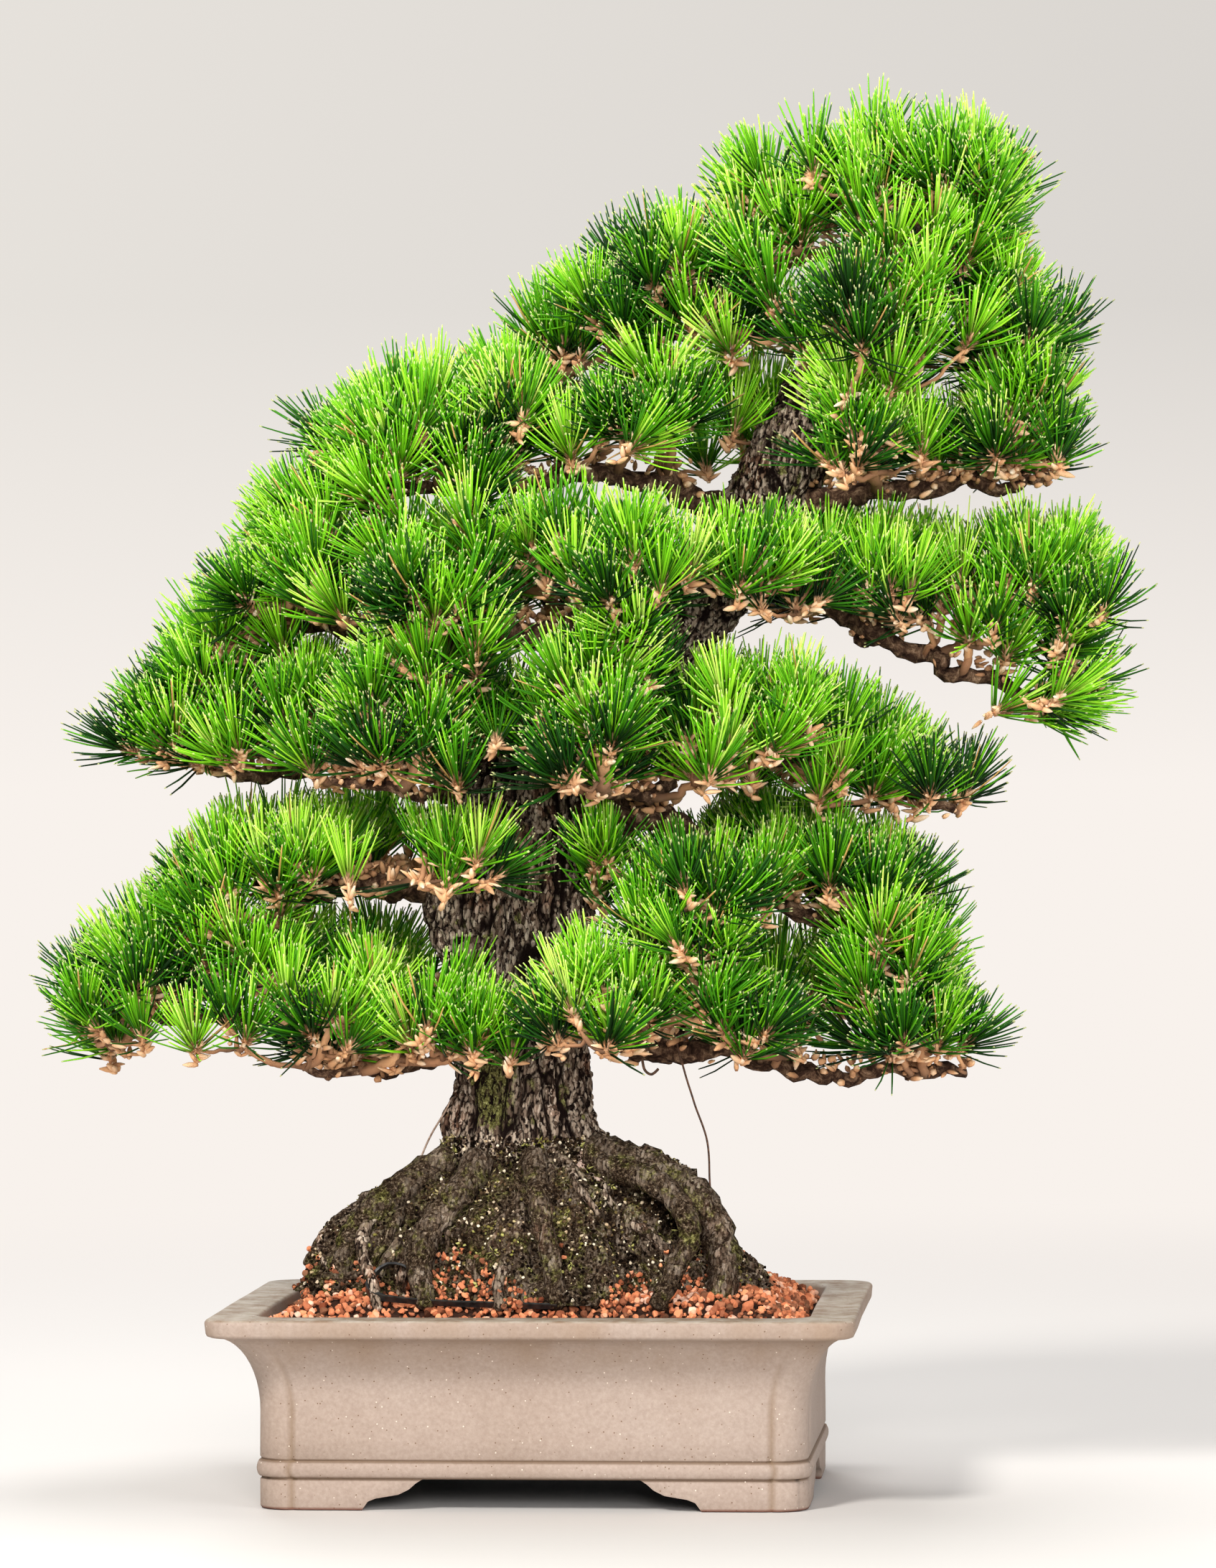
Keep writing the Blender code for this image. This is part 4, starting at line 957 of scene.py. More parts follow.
def make_trunk(finish):
    points, amounts = trunk_surface()
    levels, sides = points.shape[:2]
    vertices = points.reshape(-1, 3) + ORIGIN
    triangles = cap_faces(levels, sides)
    uv = np.concatenate([band_uv(levels, sides, 0.01, 0.97), np.full((len(triangles) * 3, 2), 0.985)])
    trunk = mesh_object("trunk_and_roots", vertices, tube_faces(levels, sides), triangles, uv, finish)
    for name, values in amounts.items():
        paint_attribute(trunk, name, values.ravel())
    add_piece(trunk, "trunk_bark", "trunk")
    return points


def rough_tube(route, radii, sides, lump, scale, start_side=(0.0, 1.0, 0.1)):
    """Rings round a route, made knobbly."""
    side, other = frames_along(route, start_side)
    angle = np.linspace(0.0, 2 * math.pi, sides, endpoint=False)
    outward = (side[:, None, :] * np.cos(angle)[None, :, None]
               + other[:, None, :] * np.sin(angle)[None, :, None])
    skin = route[:, None, :] + outward * np.asarray(radii)[:, None, None]
    bumps = noise_at(skin.reshape(-1, 3), scale).reshape(skin.shape[:2])
    bumps += 0.5 * noise_at(skin.reshape(-1, 3), scale * 2.7, 7.0).reshape(skin.shape[:2])
    return skin + outward * (bumps * lump * np.asarray(radii)[:, None])[..., None]


LEVEL_BRANCHES = ("branch_mid_right", "branch_high_left")      # these don't rise into their foliage


def branch_route(name, points, steps):
    """A branch's route with small kinks. Most rise a little into the foliage they carry."""
    route = spline(points, steps)
    share = np.linspace(0.0, 1.0, len(route))
    kinks = np.column_stack([noise_at(route, 34.0, k * 17.0) for k in range(3)])
    kinks += 0.5 * np.column_stack([noise_at(route, 90.0, 5.0 + k * 17.0) for k in range(3)])
    route += kinks * (0.0085 * smooth_step(0.0, 0.25, share))[:, None]
    if name not in LEVEL_BRANCHES:
        route[:, 2] += 0.009 * smooth_step(0.25, 0.6, share)
    return route


def make_branches(finish):
    sides, steps = 18, 14
    for name, shoots in BRANCHES.items():
        vertices, quads, triangles, uvs, cap_uvs = [], [], [], [], []
        first = 0
        for number, (start_radius, end_radius, points) in enumerate(shoots):
            route = branch_route(name, points, steps)
            share = np.linspace(0.0, 1.0, len(route))
            radii = 0.85 * (start_radius + (end_radius - start_radius) * share ** 0.6) * (1 - 0.25 * share)
            radii = radii * (1 + 0.22 * noise_at(route, 70.0, 3.0))
            skin = rough_tube(route, radii, sides, 0.30, 150.0)
            vertices.append(skin.reshape(-1, 3) + ORIGIN)
            quads.append(tube_faces(len(route), sides, first))
            caps = cap_faces(len(route), sides, first)
            triangles.append(caps)
            low = number / len(shoots)
            uvs.append(band_uv(len(route), sides, low + 0.01, low + 0.9 / len(shoots)))
            cap_uvs.append(np.full((len(caps) * 3, 2), low + 0.005))
            first += len(route) * sides
        branch = mesh_object(name + "_wood", np.concatenate(vertices), np.concatenate(quads),
                             np.concatenate(triangles), np.concatenate(uvs + cap_uvs), finish)
        add_piece(branch, "branch_bark", name)


def downhill_route(rng, tree, start, stride, steps, swing):
    """A path that creeps down over the mound from a start point."""
    place, normal, _, _ = tree.find_nearest(Vector(start))
    heading = unit(np.array([place.x, place.y, 0.0]) + rng.normal(0, 0.5, 3) * 0.05)
    route = []
    for _ in range(steps):
        route.append(np.array(place))
        down = np.array([0.0, 0.0, -1.0])
        turn = np.cross(np.array(normal), heading)
        heading = unit(heading * 0.75 + down * 0.35 + turn * rng.normal(0, swing))
        heading = heading - np.array(normal) * heading.dot(np.array(normal)) * 0.7
        place, normal, _, _ = tree.find_nearest(Vector(np.array(place) + heading * stride))
        if place.z < SOIL_CROWN - 0.004:
            route.append(np.array(place) - np.array([0.0, 0.0, 0.006]))
            break
    return np.array(route)


def make_surface_roots(points, finish):
    """Roots that creep down the mound into the soil: a few thick ones and a tangle of thin ones."""
    levels, sides = points.shape[:2]
    flat = points.reshape(-1, 3)
    tree = BVHTree.FromPolygons(flat.tolist(), tube_faces(levels, sides).tolist())
    rng = np.random.default_rng(41)
    routes = [
        (0.0130, 0.0080, 0.3, spline([(0.026, -0.036, 0.196), (0.054, -0.044, 0.190), (0.082, -0.050, 0.178),
                                      (0.100, -0.056, 0.158), (0.106, -0.062, 0.134), (0.104, -0.066, 0.112)], 8)),
        (0.0110, 0.0070, 0.2, spline([(0.046, 0.044, 0.188), (0.074, 0.060, 0.168), (0.086, 0.070, 0.142),
                                      (0.088, 0.078, 0.112)], 8)),
        (0.0105, 0.0065, 0.2, spline([(-0.036, 0.040, 0.192), (-0.066, 0.058, 0.170), (-0.080, 0.068, 0.142),
                                      (-0.084, 0.076, 0.112)], 8)),
        (0.0110, 0.0070, 0.1, spline([(-0.050, -0.028, 0.192), (-0.078, -0.042, 0.178), (-0.100, -0.052, 0.158),
                                      (-0.112, -0.058, 0.136), (-0.112, -0.064, 0.112)], 8)),
        (0.0100, 0.0060, 0.2, spline([(-0.034, -0.038, 0.194), (-0.044, -0.058, 0.176), (-0.060, -0.070, 0.156),
                                      (-0.066, -0.080, 0.134), (-0.060, -0.088, 0.112)], 8)),
        (0.0085, 0.0050, 0.1, spline([(0.034, -0.046, 0.190), (0.062, -0.062, 0.184), (0.082, -0.072, 0.170),
                                      (0.088, -0.080, 0.152), (0.080, -0.084, 0.134), (0.070, -0.092, 0.112)], 8)),
        (0.0080, 0.0050, 0.2, spline([(-0.004, -0.042, 0.196), (0.000, -0.062, 0.180), (0.004, -0.074, 0.160),
                                      (0.010, -0.084, 0.138), (0.014, -0.090, 0.112)], 8)),
        (0.0038, 0.0028, 0.9, spline([(-0.094, -0.054, 0.162), (-0.100, -0.064, 0.152), (-0.098, -0.074, 0.138),
                                      (-0.092, -0.082, 0.126), (-0.088, -0.088, 0.110)], 8)),
        (0.0030, 0.0022, 0.9, spline([(-0.116, -0.034, 0.154), (-0.126, -0.040, 0.150), (-0.124, -0.052, 0.138),
                                      (-0.116, -0.062, 0.126), (-0.112, -0.070, 0.110)], 8))]
    for _ in range(64):
        angle = rng.uniform(0, 2 * math.pi)
        height = rng.uniform(0.135, 0.196)
        reach = 0.14 * (0.200 - height) / 0.08 + 0.03
        start = (-0.010 + math.cos(angle) * reach, math.sin(angle) * reach * 0.62, height)
        route = downhill_route(rng, tree, start, 0.0075, int(rng.integers(6, 14)), 0.45)
        if len(route) < 4:
            continue
        thick = rng.uniform(0.0012, 0.0042)
        routes.append((thick, thick * 0.6, rng.uniform(0.0, 0.75), spline(route, 4)))
    around = 12
    vertices, quads, caps, quad_uvs, cap_uvs, relief, moss = [], [], [], [], [], [], []
    first = 0
    for number, (start_radius, end_radius, bare, route) in enumerate(routes):
        radii = np.linspace(start_radius, end_radius, len(route))
        radii[0] *= 0.4
        radii[-1] *= 0.5
        skin = rough_tube(route, radii, around, 0.34, 190.0)
        vertices.append(skin.reshape(-1, 3))
        quads.append(tube_faces(len(route), around, first))
        ends = cap_faces(len(route), around, first)
        caps.append(ends)
        low, high = number / len(routes), (number + 0.9) / len(routes)
        quad_uvs.append(band_uv(len(route), around, low, high))
        cap_uvs.append(np.full((len(ends) * 3, 2), low))
        first += len(route) * around
        relief.append(np.full(len(route) * around, 0.85))
        cover = 1.0 - bare + 0.6 * noise_at(skin.reshape(-1, 3), 90.0, 4.0)
        moss.append(np.clip(cover, 0.0, 1.0))
    roots = mesh_object("surface_roots", np.concatenate(vertices) + ORIGIN, np.concatenate(quads),
                        np.concatenate(caps), np.concatenate(quad_uvs + cap_uvs), finish)
    paint_attribute(roots, "relief", np.concatenate(relief))
    paint_attribute(roots, "moss", np.concatenate(moss))
    add_piece(roots, "trunk_bark")


def make_moss(points, finish):
    """Crumbs of moss, humus, grit and tiny leaflets all over the root mound."""
    rng = np.random.default_rng(23)
    shapes, faces = crumb_shapes(rng, 6, 1)
    levels, sides = points.shape[:2]
    in_mound = np.nonzero(points[:, 0, 2] < 0.205)[0]
    count = 15000
    level = rng.choice(in_mound[2:], size=count)
    around = rng.integers(sides, size=count)
    places = points[level, around] + rng.normal(0, 0.0006, (count, 3))
    patch = noise_at(places, 45.0, 31.0)
    grit = rng.random(count)
    tones = np.clip(0.14 + 0.55 * patch + rng.normal(0, 0.16, count), 0.0, 0.76)
    tones = np.where(grit > 0.86, rng.uniform(0.80, 1.0, count), tones)
    radii = rng.uniform(0.0005, 0.0017, count)
    crumbs = scatter_crumbs("moss_crumbs", rng, places + ORIGIN, radii, tones, shapes, faces, finish)
    add_piece(crumbs, "trunk_bark")
    make_leaflets(points, in_mound, finish)


def make_leaflets(points, in_mound, finish):
    """Small folded leaves in loose rosettes on the mound, each a thin closed blade."""
    rng = np.random.default_rng(29)
    sides = points.shape[1]
    centre = points.mean(axis=1)
    vertices, faces, uvs = [], [], []
    blade_faces = np.array([[0, 1, 2], [0, 2, 3], [0, 3, 1], [1, 4, 2], [2, 4, 3], [3, 4, 1]])
    for _ in range(120):
        level = rng.choice(in_mound[4:])
        around = rng.integers(sides)
        place = points[level, around]
        out = unit(place - centre[level] + np.array([0, 0, 0.02]))
        tone = rng.choice([0.60, 0.68, 0.74, 0.80])
        size = rng.uniform(0.0025, 0.0065)
        for _ in range(rng.integers(3, 8)):
            way = unit(out + rng.normal(0, 0.75, 3))
            across = unit(np.cross(way, rng.normal(size=3)))
            lift = np.cross(across, way)
            length = size * rng.uniform(0.6, 1.1)
            first = len(vertices) * 5
            vertices.append(np.array([
                place, place + way * length * 0.5 + across * length * 0.22,
                place + way * length * 0.5 + lift * length * 0.06, place + way * length * 0.5 - across * length * 0.22,
                place + way * length + lift * length * 0.1]))
            faces.append(blade_faces + first)
            uvs.append(np.tile([[tone, 0.4], [tone + 0.01, 0.4], [tone, 0.5]], (6, 1)))
    leaves = mesh_object("moss_leaflets", np.concatenate(vertices) + ORIGIN, [], np.concatenate(faces),
                         np.concatenate(uvs), finish)
    add_piece(leaves, "trunk_bark")


# ---- foliage --------------------------------------------------------------------------------

NEEDLE_SIDES = 3
NEEDLE_STATIONS = np.array([0.0, 0.16, 0.62, 1.0])
NEEDLE_WIDTHS = np.array([0.85, 1.0, 1.0, 0.66])
SHOOT_LENGTH = 0.012
SHOOT_SPACING = 0.0262
SHOOT_REACH = 0.047          # from the foot of a shoot to the tips of its middle needles
TRIM = (0.015, 0.0)          # how far tips end inside a pad's outer sides, and under its top
TRIMS = {
    "apex_top": (0.019, 0.019), "apex_right": (0.025, 0.004), "apex_left": (0.012, 0.0), "high_left": (0.034, 0.005),
    "upper_right_outer": (0.026, -0.004), "upper_right_mid": (0.015, -0.010), "right_outer": (0.044, 0.004),
    "mid_right_outer": (0.030, 0.0), "low_right_outer": (0.002, 0.0), "low_left_outer": (0.008, 0.0),
    "mid_left": (0.022, -0.010), "left_outer": (0.036, 0.0), "upper_left_outer": (0.008, -0.003),
    "high_right_outer": (0.004, 0.0), "upper_right_outer": (0.024, 0.0),
    "upper_centre_front": (0.015, -0.006), "upper_left_front": (0.015, -0.004)}
FARTHEST_FOOT = np.array([0.300, 0.138, 1.0])     # how far from the middle of the tree a shoot starts
FLOORS = {"low_left_outer": 0.284}     # pads whose shoots start higher than the pad's underside

# pads whose foliage runs into each other, so that shoots also stand between them
JOINED = [
    ("apex_top", "apex_left"), ("apex_top", "apex_front"), ("apex_top", "apex_right"), ("apex_top", "apex_back"),
    ("apex_left", "apex_front"), ("apex_front", "apex_right"), ("apex_right", "apex_back"),
    ("apex_left", "apex_back"), ("apex_left", "high_left_inner"), ("apex_right", "high_right_outer"),
    ("apex_front", "high_right_front"), ("high_left", "high_left_inner"), ("high_right_front", "high_right_outer"),
    ("high_back", "apex_back"), ("high_left_inner", "high_back"),
    ("upper_left_outer", "upper_left_front"), ("upper_left_front", "upper_centre_front"),
    ("upper_centre_front", "upper_right_front"), ("upper_right_front", "upper_right_mid"),
    ("upper_right_mid", "upper_right_outer"), ("upper_left_outer", "upper_left_back"),
    ("upper_right_mid", "upper_right_back"), ("upper_left_outer", "left_outer"), ("upper_left_front", "left_front"),
    ("upper_centre_front", "centre_front"), ("high_left", "upper_left_front"),
    ("left_outer", "left_front"), ("left_front", "centre_front"), ("centre_front", "right_front"),
    ("right_front", "right_outer"), ("left_outer", "back_left"), ("right_outer", "back_right"),
    ("mid_left", "mid_front"), ("mid_left", "mid_left_back"), ("mid_right_front", "mid_right_outer"),
    ("mid_right_outer", "mid_right_back"), ("mid_left", "low_left_outer"), ("mid_right_front", "low_right_front"),
    ("mid_right_outer", "low_right_outer"), ("low_left_outer", "low_left_front"),
    ("low_left_outer", "low_left_back"), ("low_centre", "low_right_front"),
    ("low_right_front", "low_right_outer"), ("low_right_outer", "low_right_back")]


# pad that gets more shoots, middle of their feet, spread, heading, number
FILLED = [
    ("apex_left", (0.012, -0.010, 0.650), (0.014, 0.030, 0.010), (-0.1, -0.1, 1.0), 9),
    ("apex_left", (0.036, -0.010, 0.668), (0.014, 0.024, 0.008), (-0.3, -0.1, 0.9), 7),
    ("high_left_inner", (-0.018, -0.010, 0.620), (0.014, 0.024, 0.006), (-0.2, -0.1, 1.0), 6),
    ("upper_left_outer", (-0.128, -0.012, 0.552), (0.010, 0.028, 0.012), (-0.6, -0.1, 0.8), 8),
    ("apex_top", (0.130, -0.010, 0.742), (0.010, 0.024, 0.006), (-0.3, -0.1, 1.0), 5),
    ("mid_right_front", (0.034, -0.030, 0.350), (0.006, 0.018, 0.012), (0.1, -0.3, 1.0), 4),
    ("low_left_front", (-0.044, -0.066, 0.258), (0.020, 0.014, 0.010), (0.0, -0.3, 1.0), 10),
    ("upper_right_outer", (0.282, -0.008, 0.450), (0.020, 0.022, 0.004), (0.7, -0.1, 0.45), 6),
    ("high_right_outer", (0.279, -0.010, 0.608), (0.008, 0.028, 0.016), (0.5, -0.1, 0.8), 6),
    ("upper_right_outer", (0.272, -0.012, 0.516), (0.026, 0.030, 0.004), (0.0, 0.0, 1.0), 9)]

# openings in the foliage that light comes through, seen from the front: x, z, half width, half height
WINDOWS = np.array([
    (0.070, 0.399, 0.030, 0.011), (-0.085, 0.360, 0.014, 0.010), (-0.117, 0.352, 0.012, 0.005),
    (0.145, 0.614, 0.014, 0.006), (0.177, 0.496, 0.016, 0.007),
    (0.106, 0.505, 0.009, 0.010), (0.118, 0.580, 0.015, 0.010)])
FRONT_EYE = np.array([0.324, -3.234, 0.408])


def in_window(points):
    """Whether points lie in line with an opening, as seen from the front."""
    rows = points - ORIGIN - FRONT_EYE
    rows = FRONT_EYE + rows * (-FRONT_EYE[1] / rows[..., 1])[..., None]
    x, z, half_x, half_z = WINDOWS.T
    away = ((rows[..., 0, None] - x) / half_x) ** 2 + ((rows[..., 2, None] - z) / half_z) ** 2
    return (away < 1).any(axis=-1)


class Mass:
    """A convex body of foliage: a pad of the frame, or what spans two of them."""

    def __init__(self, vertices, triangles):
        self.vertices = np.asarray(vertices)
        self.triangles = np.asarray(triangles)
        self.low, self.high = self.vertices.min(axis=0), self.vertices.max(axis=0)
        self.tree = BVHTree.FromPolygons(self.vertices.tolist(), self.triangles.tolist())

    def surface_points(self, rng, count):
        """Random points on the body with outward directions."""
        a, b, c = (self.vertices[self.triangles[:, k]] for k in range(3))
        cross = np.cross(b - a, c - a)
        area = np.linalg.norm(cross, axis=1)
        chosen = rng.choice(len(self.triangles), size=count, p=area / area.sum())
        u, v = rng.random((2, count, 1))
        flip = u + v > 1
        u, v = np.where(flip, 1 - u, u), np.where(flip, 1 - v, v)
        points = a[chosen] + (b - a)[chosen] * u + (c - a)[chosen] * v
        return points, unit(cross)[chosen]

    def depth(self, point):
        """How far a point is inside the body, negative outside."""
        place, normal, _, _ = self.tree.find_nearest(Vector(point))
        return (place - Vector(point)).dot(normal)


def pad_mass(node):
    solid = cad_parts[node].data
    solid.calc_loop_triangles()
    return Mass([v.co[:] for v in solid.vertices], [t.vertices[:] for t in solid.loop_triangles])


def span_mass(first, second):
    """The convex body round two pads."""
    work = bmesh.new()
    for row in np.concatenate([first.vertices, second.vertices]).tolist():
        work.verts.new(row)
    bmesh.ops.convex_hull(work, input=work.verts)
    bmesh.ops.triangulate(work, faces=work.faces)
    lone = [vertex for vertex in work.verts if not vertex.link_faces]
    bmesh.ops.delete(work, geom=lone, context="VERTS")
    work.verts.index_update()
    vertices = [vertex.co[:] for vertex in work.verts]
    triangles = [[vertex.index for vertex in face.verts] for face in work.faces]
    work.free()
    made = Mass(vertices, triangles)
    inside = Vector((made.low + made.high) / 2)
    if made.depth(inside) < 0:
        made = Mass(vertices, [triangle[::-1] for triangle in triangles])
    return made


class Spread:
    """Keeps shoots a set distance apart, over the whole tree."""

    def __init__(self):
        self.cells = {}

    def take(self, point, gap):
        key = tuple((point // SHOOT_SPACING).astype(int))
        for dx in (-1, 0, 1):
            for dy in (-1, 0, 1):
                for dz in (-1, 0, 1):
                    for other in self.cells.get((key[0] + dx, key[1] + dy, key[2] + dz), ()):
                        if np.linalg.norm(other - point) < gap:
                            return False
        self.cells.setdefault(key, []).append(point)
        return True


def plant_shoots(rng, mass, spread, hiders, floor_height, trim):
    """Base, heading, size and tone of shoots whose tips stand on a body of foliage, side by side and
    mostly upright, wherever no other body hides them."""
    low, high = mass.low, mass.high
    points, normals = mass.surface_points(rng, 1500)
    near = [other for other in hiders
            if (other.low < high + 0.02).all() and (other.high > low - 0.02).all()]
    inset, drop = trim
    shoots = []
    for point, normal in zip(points, normals):
        if normal[2] < -0.2 or point[2] - floor_height < 0.034 + 0.014 * rng.random():
            continue
        if any(other.depth(point) > 0.009 for other in near):
            continue
        if not spread.take(point, SHOOT_SPACING * rng.uniform(0.86, 1.0)):
            continue
        share = (point[2] - low[2]) / (high[2] - low[2])
        sideways = unit(normal * np.array([1.0, 1.0, 0.0]) + 1e-6)
        slope = math.sqrt(max(0.0, 1 - normal[2] ** 2))
        lean = slope * (0.42 + 0.42 * (1 - share))
        axis = unit(sideways * lean + np.array([0.0, 0.0, 0.80]) + rng.normal(0, 0.15, 3))
        size = rng.uniform(0.86, 1.08)
        tip = point - sideways * slope * inset + normal * rng.normal(0, 0.0035)
        base = tip - axis * SHOOT_REACH * size
        base[2] -= drop
        if in_window(base):
            continue
        base[2] = max(base[2], floor_height - 0.003 + rng.uniform(0.0, 0.007))
        # painted light and shade: shoots higher in their pad and more upright get brighter tones
        tone = 0.34 + 0.15 * share + 0.08 * axis[2] + rng.normal(0, 0.14)
        shoots.append((base, axis, size, tone))
    return shoots


def inner_shoots(rng, mass, floor_height):
    """A few shoots inside a pad, given dark tones as painted shade."""
    low, high = mass.low, mass.high
    half, centre = (high - low) / 2, (high + low) / 2
    shoots = []
    for _ in range(int(4 * half[0] * half[1] / 0.042 ** 2)):
        angle, reach = rng.uniform(0, 2 * math.pi), math.sqrt(rng.random()) * 0.70
        way = np.array([math.cos(angle), math.sin(angle), 0.0])
        base = centre + way * half * reach
        base[2] = rng.uniform(floor_height, max(floor_height + 0.004, high[2] - 0.062))
        axis = unit(way * rng.uniform(0.3, 1.5) + np.array([0.0, 0.0, 0.8]))
        shoots.append((base, axis, 0.85, rng.uniform(0.06, 0.24)))
    return shoots


def all_shoots():
    """The shoots of every pad. Shoots between two joined pads belong to the first."""
    names = sorted(node[len("needles_"):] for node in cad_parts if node.startswith("needles_"))
    pads = {name: pad_mass("needles_" + name) for name in names}
    floors = {name: FLOORS.get(name, pad.low[2]) for name, pad in pads.items()}
    shoots = {name: [] for name in names}
    spread = Spread()
    rng = np.random.default_rng(77)
    spans = {pair: span_mass(pads[pair[0]], pads[pair[1]]) for pair in JOINED}
    for pair, span in spans.items():
        hiders = [other for other_pair, other in spans.items() if other_pair != pair]
        hiders += [pad for name, pad in pads.items() if name not in pair]
        floor_height = min(floors[pair[0]], floors[pair[1]])
        trim = (np.array(TRIMS.get(pair[0], TRIM)) + np.array(TRIMS.get(pair[1], TRIM))) / 2
        shoots[pair[0]] += plant_shoots(rng, span, spread, hiders, floor_height, trim)
    for name, pad in pads.items():
        hiders = [other for other_name, other in pads.items() if other_name != name] + list(spans.values())
        shoots[name] += plant_shoots(rng, pad, spread, hiders, floors[name], TRIMS.get(name, TRIM))
        shoots[name] += inner_shoots(rng, pad, floors[name])
    for name, middle, extent, heading, number in FILLED:
        for _ in range(number):
            base = ORIGIN + np.array(middle) + rng.normal(0, 0.6, 3) * extent
            axis = unit(rng.normal(0, 0.25, 3) + np.array(heading))
            shoots[name].append((base, axis, 0.95, rng.uniform(0.35, 0.65)))
    for grown in shoots.values():
        grown[:] = [(np.clip(base, -FARTHEST_FOOT, FARTHEST_FOOT), *rest) for base, *rest in grown]
    return shoots


def tuft_needles(rng, place, axis, size, tone):
    """Starts, headings, bends, lengths and tones of one tuft's paired needles."""
    pairs = int(rng.integers(25, 33) * size)
    order = (np.arange(pairs) + rng.random(pairs)) / pairs
    spin = np.arange(pairs) * GOLDEN_ANGLE + rng.uniform(0, 6.28)
    polar = np.radians(66 - 58 * order ** 0.8 + rng.normal(0, 8, pairs))
    helper = np.array([1.0, 0.0, 0.0]) if abs(axis[0]) < 0.8 else np.array([0.0, 1.0, 0.0])
    side = unit(np.cross(axis, helper))
    other = np.cross(axis, side)
    ring = side[None, :] * np.cos(spin)[:, None] + other[None, :] * np.sin(spin)[:, None]
    heading = axis[None, :] * np.cos(polar)[:, None] + ring * np.sin(polar)[:, None]
    start = place + axis * (SHOOT_LENGTH * size * order)[:, None] + ring * 0.0012
    length = rng.uniform(0.0265, 0.0375, pairs) * (0.86 + 0.14 * size)
    spread = unit(np.cross(heading, rng.normal(size=(pairs, 3)))) * rng.uniform(0.035, 0.11, pairs)[:, None]
    rise = axis[None, :] * 0.08 + np.array([0.0, 0.0, 0.06])
    # painted shade: the low, splayed needles of a tuft get darker tones than its upright middle
    tones = np.clip(tone + 0.26 * (order - 0.5) + rng.normal(0, 0.15, pairs), 0.0, 0.92)
    starts = np.concatenate([start + spread * 0.010, start - spread * 0.010])
    headings = unit(np.concatenate([heading + spread, heading - spread]))
    bends = np.concatenate([rise + rng.normal(0, 0.035, (pairs, 3)), rise + rng.normal(0, 0.035, (pairs, 3))])
    lengths = np.concatenate([length, length * rng.uniform(0.94, 1.03, pairs)])
    tones = np.concatenate([tones, np.clip(tones + rng.normal(0, 0.05, pairs), 0.0, 0.92)])
    straw = rng.random(2 * pairs) < 0.012
    tones = np.where(straw, 0.955, tones)
    return starts, headings, bends, lengths, tones


def needles_mesh(name, rows, rng, finish):
    """Every needle as a thin closed three-sided blade with a soft bend."""
    starts, headings, bends, lengths, tones = [np.concatenate(column) for column in zip(*rows)]
    blocked = np.zeros(len(starts), dtype=bool)
    for share in (0.25, 0.5, 0.75, 1.0):
        blocked |= in_window(starts + headings * (lengths * share)[:, None])
    starts, headings, bends, lengths, tones = [
        rows[~blocked] for rows in (starts, headings, bends, lengths, tones)]
    count = len(starts)
    stations = len(NEEDLE_STATIONS)
    share = NEEDLE_STATIONS[None, :, None]
    middle = (starts[:, None, :] + headings[:, None, :] * lengths[:, None, None] * share
              + bends[:, None, :] * lengths[:, None, None] * share ** 2)
    side = unit(np.cross(headings, rng.normal(size=(count, 3))))
    other = np.cross(headings, side)
    half_width = rng.uniform(0.00056, 0.00072, count)
    angle = np.arange(NEEDLE_SIDES) / NEEDLE_SIDES * 2 * math.pi
    ring = side[:, None, :] * np.cos(angle)[None, :, None] + other[:, None, :] * np.sin(angle)[None, :, None]
    width = half_width[:, None] * NEEDLE_WIDTHS[None, :]
    vertices = middle[:, :, None, :] + ring[:, None, :, :] * width[:, :, None, None]
    per_needle = stations * NEEDLE_SIDES
    first = (np.arange(count) * per_needle)[:, None, None]
    quads = tube_faces(stations, NEEDLE_SIDES)[None] + first
    caps = cap_faces(stations, NEEDLE_SIDES)[None] + first
    level, around = np.meshgrid(np.arange(stations - 1), np.arange(NEEDLE_SIDES), indexing="ij")
    tone_step = 0.004
    left, right = around * tone_step, (around + 1) * tone_step
    bottom, top = NEEDLE_STATIONS[level], NEEDLE_STATIONS[level + 1]
    corner = np.stack([np.stack([left, bottom], -1), np.stack([right, bottom], -1),
                       np.stack([right, top], -1), np.stack([left, top], -1)], axis=-2).reshape(-1, 2)
    tone = np.stack([np.clip(tones, 0.0, 0.985), np.zeros(count)], -1)
    quad_uv = corner[None] * np.array([1.0, 0.996]) + tone[:, None, :]
    base_corner = np.array([[0.0, 0.0], [tone_step, 0.0], [0.0, 0.004]])
    tip_corner = np.array([[0.0, 0.99], [tone_step, 0.99], [0.0, 0.996]])
    cap_uv = np.concatenate([base_corner, tip_corner])[None] + tone[:, None, :]
    uv = np.concatenate([quad_uv.reshape(-1, 2), cap_uv.reshape(-1, 2)])
    return mesh_object(name, vertices.reshape(-1, 3), quads.reshape(-1, 4), caps.reshape(-1, 3), uv, finish)


